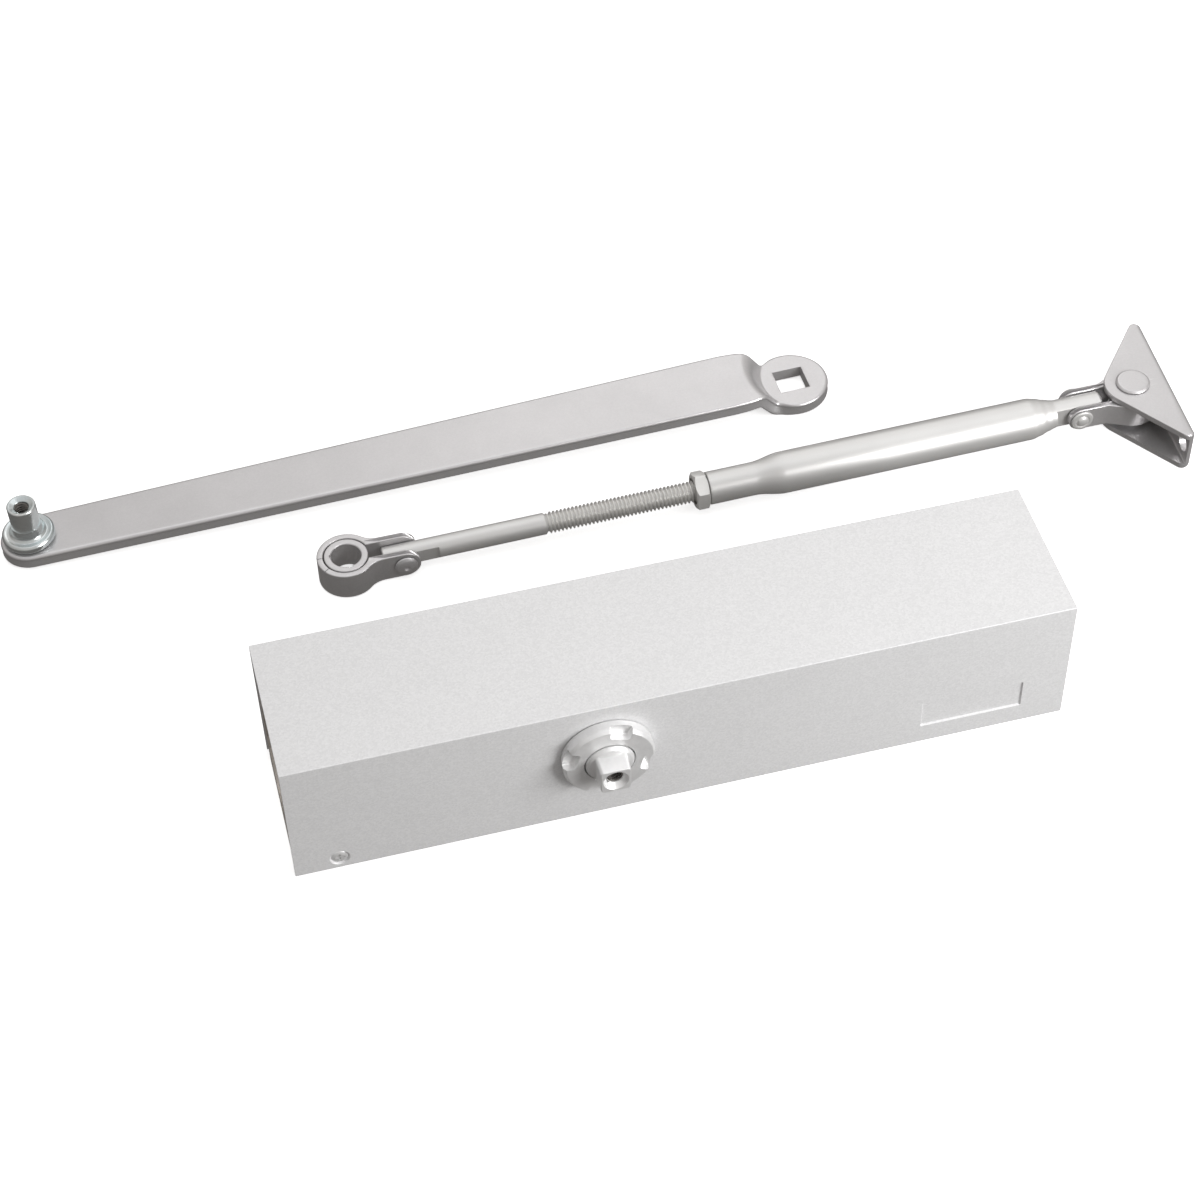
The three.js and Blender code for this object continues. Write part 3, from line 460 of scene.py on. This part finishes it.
def spindle():
    """Spindle seen from outside: journal with a domed shoulder, tapered square, countersunk tapped hole."""
    shaft = lathe([(0, -23), (6, -23, .3), (6.5, -22.5, .3), (6.5, -7.8), (5.5, -7.8), (5.5, 7.8), (8, 7.8),
                   (8, 32.6, .7), (7.1, 33.7, .8), (5.2, 34.4, .5), (0, 34.5)], 96)
    half = 5.3
    corners = fillet([(-half, -half, 1.15), (half, -half, 1.15), (half, half, 1.15), (-half, half, 1.15)],
                     steps=5)
    drive = plate([corners], 33.2, 40.1, edge=0.35, steps=3, taper=4.9 / 5.3)
    hole = lathe([(0, 26), (2.65, 28), (2.65, 38.3, .15), (4.25, 40.15), (4.25, 41), (0, 41)], 72)
    cut(drive, hole)
    core = lathe([(0, 26), (2.65, 28), (2.65, 41), (0, 41)], 72)
    cut(shaft, core)
    thread = helix(2.75, 2.2, 28.2, 38.3, 0.95, 26)
    gear = pinion()
    piece("spindle_shaft", [shaft, drive, gear], "spindle", "spindle", bright_plate,
          ON_SPINDLE)
    piece("spindle_thread", [thread], "spindle", None, dark_thread, ON_SPINDLE)


def pinion():
    """The spindle's twelve teeth, drawn about local Z."""
    module, teeth, pressure = 1.25, 12, math.radians(25)
    pitch = module * teeth / 2
    base, tip, root = pitch * math.cos(pressure), pitch + 0.95 * module, pitch - 1.3 * module
    involute = lambda a: math.tan(a) - a
    half = (math.pi * module / 2 - 0.1) / (2 * pitch) + involute(pressure)
    flank = [(root, half)]
    flank += [(r, half - involute(math.acos(min(1, base / r)))) for r in np.linspace(base, tip, 8)]
    points = []
    for tooth in range(teeth):
        middle = math.pi / 2 + tooth * 2 * math.pi / teeth
        points += [(r * math.cos(middle - a), r * math.sin(middle - a)) for r, a in flank]
        points += [(r * math.cos(middle + a), r * math.sin(middle + a)) for r, a in flank[::-1]]
    return plate([np.array(points)], -7.8, 7.8, edge=0.05, steps=1)


def closing_spring():
    """Coil spring with closed, ground-looking ends."""
    radius, wire, turns, end_pitch, start, end = 12, 1.9, 12, 4.2, -6.7, 107.7
    first, last = start + wire, end - wire
    open_pitch = (last - first - 2 * end_pitch) / (turns - 2)
    steps, sides = turns * 36, 12
    verts, faces = [], []
    for i in range(steps + 1):
        t = turns * i / steps
        opened = min(max(t - 1, 0), turns - 2)
        x = first + opened * open_pitch + (t - opened) * end_pitch
        a = t * 2 * math.pi
        out = np.array([0, math.cos(a), math.sin(a)])
        centre = np.array([x, 0, BORE_Z]) + radius * out
        for k in range(sides):
            b = 2 * math.pi * k / sides
            verts.append(centre + wire * (math.cos(b) * out + math.sin(b) * np.array([1, 0, 0])))
    for i in range(steps):
        for k in range(sides):
            m = (k + 1) % sides
            faces.append([i * sides + k, i * sides + m, (i + 1) * sides + m, (i + 1) * sides + k])
    faces += [list(range(sides))[::-1], [steps * sides + k for k in range(sides)]]
    coil = solid(verts, faces)
    spring = piece("closing_coil", [coil], "closer_body", "closing_spring", oiled_steel)
    spring.modifiers.clear()
    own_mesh(spring)


# ---------------------------------------------------------------- main arm
def arm_rise(x, y):
    """Height of the plate above the boss: two bends and a ramp, along ovals round the boss's axis."""
    start, angle, bend, stretch = 10.6, math.radians(55), 3.2, 1.3
    ramp = (ARM_OFFSET - 2 * bend * (1 - math.cos(angle))) / math.sin(angle)
    end = start + 2 * bend * math.sin(angle) + ramp * math.cos(angle)
    along = np.clip(np.hypot(np.minimum(x, 0), y / stretch), start, end)
    first = bend - np.sqrt(np.maximum(bend ** 2 - (along - start) ** 2, 0))
    last = ARM_OFFSET - bend + np.sqrt(np.maximum(bend ** 2 - (end - along) ** 2, 0))
    reach = bend * math.sin(angle)
    middle = bend * (1 - math.cos(angle)) + (along - start - reach) * math.tan(angle)
    return np.where(along < start + reach, first, np.where(along > end - reach, last, middle))


def arm_plate():
    """Pressed arm: round boss with a square hole, joggle, long tapering bar with rolled edges."""
    split = math.radians(120)
    bar_start, hole_half = -26, 5.5

    def neck_outline(inset, count):
        a = np.radians([120, 121, 122])
        points = [np.array([ARM_BOSS * math.cos(v), ARM_BOSS * math.sin(v)]) for v in a]
        points += curve(points[-1], (-11.0, 10.9), (-14.4, 12.3), 12)
        points += curve((-14.4, 12.3), (-18, ARM_NECK), (bar_start, ARM_NECK), 12)
        points = np.array(points)
        along = np.gradient(points, axis=0)
        along /= np.linalg.norm(along, axis=1)[:, None]
        points = points + inset * np.stack([-along[:, 1], along[:, 0]], 1)
        points[0] = (ARM_BOSS - inset) * np.array([math.cos(split), math.sin(split)])
        points[-1] = (bar_start, ARM_NECK - inset)
        length = np.concatenate([[0], np.cumsum(np.linalg.norm(np.diff(points, axis=0), axis=1))])
        s = np.linspace(0, length[-1], count)
        return np.stack([np.interp(s, length, points[:, 0]), np.interp(s, length, points[:, 1])], 1)

    def bar_edge(inset):
        x = np.linspace(bar_start, -ARM_CENTRES, 24)
        narrowing = (ARM_END - ARM_NECK) * (bar_start - x) / (ARM_CENTRES + bar_start)
        return np.stack([x, ARM_NECK + narrowing - inset], 1)

    boss_angles = np.radians(np.arange(0, 121, 3))
    neck_angles = np.radians(np.arange(120, 181, 3))
    end_angles = np.radians(np.linspace(90, 180, 19))
    neck_count = 30

    def outline(inset):
        boss = (ARM_BOSS - inset) * np.stack([np.cos(boss_angles), np.sin(boss_angles)], 1)
        end = (ARM_END - inset) * np.stack([np.cos(end_angles), np.sin(end_angles)], 1) - [ARM_CENTRES, 0]
        return np.concatenate([boss, neck_outline(inset, neck_count)[1:], bar_edge(inset)[1:], end[1:]])

    def hole_edge(angles, half):
        reach = half / np.maximum(np.abs(np.cos(angles)), np.abs(np.sin(angles)))
        return np.stack([reach * np.cos(angles), reach * np.sin(angles)], 1)

    def patches(inset, half):
        grids = []
        outer = ARM_BOSS - inset
        angles = np.concatenate([boss_angles, neck_angles[1:]])
        back = np.clip((angles - split) / (math.pi - split), 0, 1)
        rim = outer + (12.6 - outer) * back
        radii = [np.hypot(*hole_edge(angles, half).T)]
        first = radii[0]
        for t in (0.3, 0.6, 0.85):
            radii.append(first + (10.3 - first) * t)
        radii += [np.full_like(angles, r) for r in (10.5, 10.65, 10.8, 10.95, 11.15, 11.35)]
        radii += [11.35 + (rim - 11.35) * t for t in (0.33, 0.67, 1)]
        grids.append(np.stack([np.stack([r * np.cos(angles), r * np.sin(angles)], 1) for r in radii]))
        v = np.linspace(0, 1, len(neck_angles))
        right = grids[0][-1][len(boss_angles) - 1:][::-1]
        top = neck_outline(inset, neck_count)
        left = np.stack([np.full_like(v, bar_start), v * (ARM_NECK - inset)], 1)
        rows = []
        for u, edge in zip(np.linspace(0, 1, neck_count), top):
            row = (1 - u) * right + u * left
            rows.append(row + v[:, None] * (edge - row[-1]))
        grids.append(np.stack(rows))
        grids.append(np.stack([np.stack([np.full_like(v, x), v * y], 1) for x, y in bar_edge(inset)]))
        grids.append(np.stack([np.stack([-ARM_CENTRES + v * (ARM_END - inset) * math.cos(a),
                                         v * (ARM_END - inset) * math.sin(a)], 1) for a in end_angles]))
        return grids

    def lift(points, height):
        x, y = points[..., 0], points[..., 1]
        near = 0.02
        rise = arm_rise(x, y)
        gx = (arm_rise(x + near, y) - arm_rise(x - near, y)) / (2 * near)
        gy = (arm_rise(x, y + near) - arm_rise(x, y - near)) / (2 * near) * (np.abs(y) > 0.1)
        norm = np.sqrt(1 + gx ** 2 + gy ** 2)
        off = height - ARM_THICKNESS / 2
        z = rise + ARM_THICKNESS / 2 + off / norm
        return np.stack([x - off * gx / norm, y - off * gy / norm, z], -1)

    verts, faces = [], []

    def add(grid):
        for flip in (1, -1):
            base = len(verts)
            rows, columns = grid.shape[:2]
            verts.extend((grid * [1, flip, 1]).reshape(-1, 3))
            for i in range(rows - 1):
                for k in range(columns - 1):
                    a, b = base + i * columns + k, base + (i + 1) * columns + k
                    faces.append([a, a + 1, b + 1, b])

    rim = [(1.25, 5), (0.84, 4.94), (0.46, 4.76), (0.18, 4.46), (0.03, 4.08), (0.02, 3.8), (0.24, 3.5),
           (0.27, 3.2), (0.18, 2.2), (0.08, 1.2), (0, 0.6), (0.05, 0.3), (0.3, 0)]
    for grid in patches(rim[0][0], hole_half + 0.3):
        add(lift(grid, ARM_THICKNESS))
    for grid in patches(rim[-1][0], hole_half + 0.3):
        add(lift(grid, 0))
    add(np.stack([lift(outline(inset), height) for inset, height in rim]))
    around = np.radians(np.arange(0, 181, 3))
    add(np.stack([lift(hole_edge(around, hole_half + inset), height)
                  for inset, height in ((0.3, 5), (0.09, 4.91), (0, 4.7), (0, 0.3), (0.3, 0))]))
    arm = solid(verts, faces)
    piece("arm_plate", [arm], "main_arm", "main_arm", arm_paint, ARM, sharp=42)


def elbow_stud():
    """Zinc-plated stud: dished flange with a rolled rim, plain barrel, countersunk tapped hole."""
    seat, top = 12.3, 28.5
    tail = [(0, 5.7), (4.6, 5.7, .2), (5.4, 6.2, .2), (5.4, 6.7, .1), (3.2, 6.7), (3.2, seat)]
    flange = [(8.6, seat, .5), (9.3, seat + .9, .8), (9.3, seat + 2.5, .9), (8.5, seat + 3.5, .7),
              (7.6, seat + 3.15, .5), (6.7, seat + 3.1, .6), (5.9, seat + 4.0, 1.2)]
    barrel = [(5.1, seat + 6.6, 2.5), (5.1, top - .35, .3), (4.85, top, .15), (4.25, top - .02, .3)]
    bore = [(2.75, top - .95, .3), (2.5, top - 1.5), (2.5, 15), (0, 14)]
    stud = lathe(tail + flange + barrel + bore, 144, steps=6)
    thread = helix(2.55, 2.0, 15.4, top - 1.2, 1.0, 30)
    at_stud = ARM @ move((-ARM_CENTRES, 0, 0))
    piece("elbow_stud_turned", [stud], "main_arm", "elbow_stud", zinc_plate, at_stud, sharp=50)
    piece("elbow_stud_thread", [thread], "main_arm", None, dark_thread, at_stud)


# ---------------------------------------------------------------- rod line
def round_ends(obj, start, radius, middle, sign=1):
    """Rounds the end of a flat strip in side view: heights shrink to nothing at start + radius."""
    for vertex in obj.data.vertices:
        t = sign * (vertex.co.x - start) / radius
        if t > 0:
            vertex.co.z = middle + (vertex.co.z - middle) * math.sqrt(max(1 - min(t, 0.9995) ** 2, 0))
    return obj


def elbow_yoke():
    """Strap bent round the bush with two ears, then the bush and the rivet through the ears."""
    outer, inner, ear, ear_in, height = 10.3, 8.1, 5.5, 3.1, 10.8
    rivet = YOKE_RIVET_X
    reach = height / 2
    leave = math.radians(50)
    ring = [(outer * math.cos(a), outer * math.sin(a))
            for a in np.linspace(leave, 2 * math.pi - leave, 120)]
    tips = [rivet + reach * math.sin(a) for a in np.radians(np.arange(0, 91, 6))]
    lower = curve(ring[-1], (8.8, -ear - .15), (12.2, -ear), 10) + [(16, -ear)] + [(x, -ear) for x in tips]
    slot_low = [(x, -ear_in) for x in tips[::-1]] + [(14, -ear_in)]
    inner_ring = [(inner * math.cos(a), inner * math.sin(a)) for a in
                  np.linspace(-math.asin(ear_in / inner), -2 * math.pi + math.asin(ear_in / inner), 120)]
    slot_high = [(14, ear_in)] + [(x, ear_in) for x in tips]
    upper = [(x, ear) for x in tips[::-1]] + [(16, ear)] + [(x, -y) for x, y in lower[:9][::-1]]
    outline = np.array(ring + lower + slot_low + inner_ring + slot_high + upper)
    strap = plate([outline], 0, height, edge=0.42, steps=4)
    round_ends(strap, rivet, reach, height / 2)
    cuts = []
    for angle in (176, 214):
        slit = block(7.4, 11.5, -0.14, 0.14, height - 0.7, height + 1)
        cuts.append(moved(slit, turn(math.radians(angle), 4, "Z")))
    hole = moved(rod_shape(RIVET_HOLE, -9, 9, 48), move((rivet, 0, height / 2)) @ TO_Y)
    cut(strap, hole, *cuts)
    piece("yoke_strap", [strap], "elbow_yoke", "elbow_yoke", arm_paint, YOKE, sharp=35)

    bush = lathe([(5.3, 0, .5), (7.75, 0, .45), (7.75, height, .45), (5.3, height, .55)], 120, closed=True)
    grooves = [moved(block(4.8, 5.95, -0.75, 0.75, height - 1.1, 12), turn(math.radians(a), 4, "Z"))
               for a in (-83, 172)]
    cut(bush, *grooves)
    piece("bush_ring", [bush], "elbow_bush", "elbow_bush", arm_paint, YOKE, sharp=35)

    dome = [(0, 6.55), (0.45, 6.62), (0.8, 6.98), (1.2, 7.28), (2.4, 7.18), (3.3, 6.8, .5), (4.0, 6.3, .5),
            (4.2, 5.85, .1), (2.0, 5.8), (2.0, 0)]
    rivet_shape = lathe(dome + [(r, -z, *f) for r, z, *f in dome[:-1][::-1]], 72, steps=4)
    piece("yoke_rivet_dome", [rivet_shape], "elbow_yoke", "yoke_rivet", arm_paint,
          YOKE @ move((rivet, 0, height / 2)) @ TO_FRONT, sharp=40)


def rod():
    """Forged rod end with flats, plain shank, then a full thread."""
    shank = lathe([(0, -7.4), (3.5, -7.4, .4), (3.9, -7.0, .4), (3.9, 51.3, .3), (3.05, 52.1), (3.05, 156.2),
                   (2.6, 157, .2), (0, 157)], 96)
    thread = helix(3.1, 3.9, 51.9, 156, 1.411, 30, width=0.9, crest_width=0.16)
    for y0, y1 in ((2.8, 6), (-6, -2.8)):
        cut(shank, moved(block(y0, y1, -6, 6, -8, 12.6), QUARTER))
    hole = moved(rod_shape(RIVET_HOLE, -6, 6, 48), TO_FRONT)
    cut(shank, hole)
    piece("rod_shank", [shank], "threaded_rod", "threaded_rod", rod_paint, ROD @ TO_X,
          sharp=35)
    piece("rod_thread", [thread], "threaded_rod", None, thread_steel, ROD @ TO_X, sharp=35)


def jam_nut():
    """Hexagon nut with chamfered ends, a corner down."""
    start, end, flats = 106.2, 111, 12.4
    corner = flats / math.sqrt(3)
    hexagon = [(corner * math.cos(a), corner * math.sin(a)) for a in np.radians(np.arange(0, 360, 60))]
    nut = plate([np.array(hexagon)], start, end, edge=0.01, steps=1)
    chamfer = lathe([(0, start), (6.0, start, .3), (corner + .1, 106.95), (corner + .1, 110.25),
                     (6.0, end, .3), (0, end)], 96)
    common(nut, chamfer)
    cut(nut, lathe([(0, 105), (4.9, 105), (4.9, start), (4.15, 107), (4.15, 110.2), (4.9, end),
                    (4.9, 112), (0, 112)], 72))
    bevelled(nut, 0.16, 2, 25)
    piece("nut_hex", [nut], "jam_nut", "jam_nut", nut_plate, ROD @ TO_X, sharp=35)


def tube():
    """Swaged tube: tapped neck, bottle shoulder, plain body, tapered end with turned rings and flats."""
    shoulder = []
    for t in np.linspace(0, 1, 13):
        shoulder.append((6 + 1.6 * t * t * (3 - 2 * t), 128.2 + 11.2 * t))
    taper = []
    for t in np.linspace(0, 1, 15):
        ripple = 0.06 * math.sin(t * math.pi * 6) * (0.15 < t < 0.9)
        taper.append((7.6 - 2.6 * (t ** 1.7 * (2 - t ** 0.9)) + ripple, 232.5 + 10.3 * t))
    taper[-1] = (5.0, 242.8)
    neck = [(4.25, 111.4, .15), (6, 111.4, .4)]
    tip_and_bore = [(5.0, 259.4, .5), (4.4, 260.2, .5), (0, 260.2), (0, 229), (4.25, 228)]
    body = lathe(neck + shoulder + taper + tip_and_bore, 120)
    for y0, y1 in ((3.1, 9), (-9, -3.1)):
        cut(body, moved(block(y0, y1, -9, 9, 242.4, 262), QUARTER))
    cut(body, moved(rod_shape(RIVET_HOLE, -9, 9, 48), move((0, 0, ROD_LENGTH)) @ TO_FRONT))
    piece("tube_body", [body], "rod_tube", "rod_tube", rod_paint, ROD @ TO_X, sharp=35)


def foot_clevis():
    """Strap bent to a loop round the bracket's pivot, and the rivet through its ears."""
    pivot, strap, ear_in, loop, height = FOOT_PIVOT, 2.3, 3.6, 10, 9.4
    ear, reach = ear_in + strap, height / 2
    leave = math.radians(118)
    tips = [-reach * math.sin(a) for a in np.radians(np.arange(0, 91, 6))]
    ring = [(pivot + loop * math.cos(a), loop * math.sin(a)) for a in np.linspace(-leave, leave, 110)]
    r_in = loop - strap
    meet = math.pi - math.asin(ear_in / r_in)
    inner = [(pivot + r_in * math.cos(a), r_in * math.sin(a)) for a in np.linspace(meet, -meet, 110)]
    outside = [(x, -ear) for x in tips[::-1]] + [(5, -ear), (pivot - loop - 1.2, -ear)] + ring
    outside += [(pivot - loop - 1.2, ear), (5, ear)] + [(x, ear) for x in tips]
    inside_line = [(x, ear_in) for x in tips[::-1]] + [(6, ear_in)] + inner
    inside_line += [(6, -ear_in)] + [(x, -ear_in) for x in tips]
    clevis = plate([np.array(outside + inside_line)], -reach, reach, edge=0.4, steps=4)
    round_ends(clevis, 0, reach, 0, -1)
    cut(clevis, moved(rod_shape(RIVET_HOLE, -9, 9, 48), TO_Y))
    piece("clevis_strap", [clevis], "foot_clevis", "foot_clevis", arm_paint, FOOT, sharp=30)

    head = [(0, 7.7), (1.0, 7.62), (1.8, 7.3, .4), (2.15, 6.85, .2), (2.35, 6.7, .15), (2.9, 6.95, .4),
            (3.9, 6.8, .4), (4.2, 6.35, .2), (4.2, 6.2, .05), (2.0, 6.15), (2.0, 0)]
    rivet = lathe(head + [(r, -z, *f) for r, z, *f in head[:-1][::-1]], 72)
    piece("clevis_rivet_head", [rivet], "foot_clevis", "foot_clevis_rivet", rod_paint,
          FOOT @ TO_FRONT, sharp=45)


def foot_bracket():
    """Triangular shoe folded from sheet, with two screw holes, and the rivet it pivots on."""
    tall, sheet, apex, base, half, corner = 17, 2.3, 10.3, 13.4, 30.3, 2.4
    cx, cy = base - corner, half - corner
    tangent = math.atan2(cy, cx) + math.acos((apex - corner) / math.hypot(cx, cy))
    points, edges = [], []

    def arc(x, y, radius, a0, a1, n, e0, e1):
        for t in np.linspace(0, 1, n):
            a = a0 + (a1 - a0) * t
            points.append((x + radius * math.cos(a), y + radius * math.sin(a)))
            edges.append(e0 + (e1 - e0) * t)

    fold, rim = 1.9, 0.35
    for y in np.linspace(-cy, cy, 21)[1:-1]:
        points.append((base, y))
        edges.append(fold)
    arc(cx, cy, corner, 0, tangent, 24, fold, rim)
    arc(0, 0, apex, tangent, 2 * math.pi - tangent, 60, rim, rim)
    arc(cx, -cy, corner, -tangent, 0, 24, rim, fold)
    shoe = plate([np.array(points)], 0, tall, edge=np.array(edges), steps=5)
    wall = base - sheet
    gap = fillet([(-20, sheet), (wall, sheet, 0.7), (wall, tall - sheet, 0.7), (-20, tall - sheet)])
    swap_y_z = Matrix(((1, 0, 0, 0), (0, 0, 1, 0), (0, 1, 0, 0), (0, 0, 0, 1)))
    void = moved(plate([gap], -40, 40, edge=0.01, steps=1), swap_y_z)
    screws = [moved(rod_shape(3.3, 5, 15, 64), move((0, s * 25.3, tall / 2)) @ TO_X) for s in (-1, 1)]
    cut(shoe, void, rod_shape(4.3, -1, 18, 64), *screws)
    bevelled(shoe, 0.22, 2, 50)
    piece("bracket_shoe", [shoe], "foot_bracket", "foot_bracket", arm_paint, BRACKET,
          sharp=32)

    pin = lathe([(0, .1), (4.0, .1, .3), (4.0, 17.25), (6.2, 17.25, .1), (6.2, 17.6, .35), (5.5, 18.15, .6),
                 (4.6, 18.2), (0, 18.2)], 96)
    piece("bracket_rivet_head", [pin], "foot_bracket", "foot_pivot_rivet", arm_paint,
          BRACKET, sharp=45)


cover()
cover_screw()
bearing_cap()
spindle()
closing_spring()
arm_plate()
elbow_stud()
elbow_yoke()
rod()
jam_nut()
tube()
foot_clevis()
foot_bracket()

# ---------------------------------------------------------------- floor, light and camera
floor_mesh = bpy.data.meshes.new("floor")
reach = 4.0
floor_corners = [(-reach, -reach, 0), (reach, -reach, 0), (reach, reach, 0), (-reach, reach, 0)]
floor_mesh.from_pydata(floor_corners, [], [(0, 1, 2, 3)])
floor = bpy.data.objects.new("floor", floor_mesh)
floor.location.z = -0.0002
scene.collection.objects.link(floor)
paper = bpy.data.materials.new("paper")
paper.use_nodes = True
paper_shader = paper.node_tree.nodes["Principled BSDF"]
paper_shader.inputs["Base Color"].default_value = (0.9, 0.9, 0.9, 1)
paper_shader.inputs["Roughness"].default_value = 0.9
paper_shader.inputs["Specular IOR Level"].default_value = 0.0
paper_shader.inputs["Emission Color"].default_value = (1, 1, 1, 1)
paper_shader.inputs["Emission Strength"].default_value = 0.62
floor_mesh.materials.append(paper)
floor.visible_glossy = False
floor.visible_diffuse = False

world = bpy.data.worlds.new("studio")
scene.world = world
world.use_nodes = True
sky_nodes, sky_links = world.node_tree.nodes, world.node_tree.links
direction = sky_nodes.new("ShaderNodeTexCoord")
split_xyz = sky_nodes.new("ShaderNodeSeparateXYZ")
ramp = sky_nodes.new("ShaderNodeValToRGB")
to_unit = sky_nodes.new("ShaderNodeMapRange")
to_unit.inputs["From Min"].default_value = -1
sky_links.new(direction.outputs["Generated"], split_xyz.inputs[0])
sky_links.new(split_xyz.outputs["Z"], to_unit.inputs["Value"])
sky_links.new(to_unit.outputs["Result"], ramp.inputs["Fac"])
sky_links.new(ramp.outputs["Color"], sky_nodes["Background"].inputs["Color"])
levels = ramp.color_ramp.elements
levels[0].position, levels[0].color = 0.0, (0.20, 0.19, 0.18, 1)
levels[1].position, levels[1].color = 1.0, (0.95, 0.95, 0.96, 1)
for where, grey in ((0.42, 0.22), (0.5, 0.34), (0.62, 0.62), (0.8, 0.85)):
    levels.new(where).color = (grey, grey * 0.97, grey * 0.94, 1)
sky_nodes["Background"].inputs["Strength"].default_value = 0.74


def area_light(name, place, target, width, height, power, colour=(1, 1, 1)):
    data = bpy.data.lights.new(name, "AREA")
    data.shape, data.size, data.size_y, data.energy, data.color = "RECTANGLE", width, height, power, colour
    lamp = bpy.data.objects.new(name, data)
    lamp.location = place
    lamp.rotation_euler = (Vector(target) - Vector(place)).to_track_quat("-Z", "Y").to_euler()
    scene.collection.objects.link(lamp)


area_light("overhead", (0.2, 0.35, 1.15), (0.05, 0.06, 0), 1.3, 0.9, 2.2)
area_light("right_front", (0.56, -0.55, 0.36), (0.1, 0.0, 0.03), 0.5, 0.4, 7.2)
area_light("rear_right", (0.45, 1.3, 1.0), (0.05, 0.1, 0), 0.8, 0.7, 1.4)

azimuth, elevation, roll = math.radians(-13.18), math.radians(48.45), math.radians(-1.655)
level = math.cos(elevation)
back = Vector((math.sin(azimuth) * level, -math.cos(azimuth) * level, math.sin(elevation)))
right = (-back).cross(Vector((0, 0, 1))).normalized()
up = right.cross(-back)
side_axis = math.cos(roll) * right + math.sin(roll) * up
up_axis = -math.sin(roll) * right + math.cos(roll) * up
camera_data = bpy.data.cameras.new("camera")
camera_data.sensor_width = 36
camera_data.lens = 81.624
camera_data.clip_start, camera_data.clip_end = 0.01, 20
camera = bpy.data.objects.new("camera", camera_data)
camera.matrix_world = Matrix((
    (side_axis.x, up_axis.x, back.x, -0.1498),
    (side_axis.y, up_axis.y, back.y, -0.5508),
    (side_axis.z, up_axis.z, back.z, 0.7094),
    (0, 0, 0, 1)))
scene.collection.objects.link(camera)
scene.camera = camera
scene.view_settings.view_transform = "Standard"
scene.view_settings.look = "None"
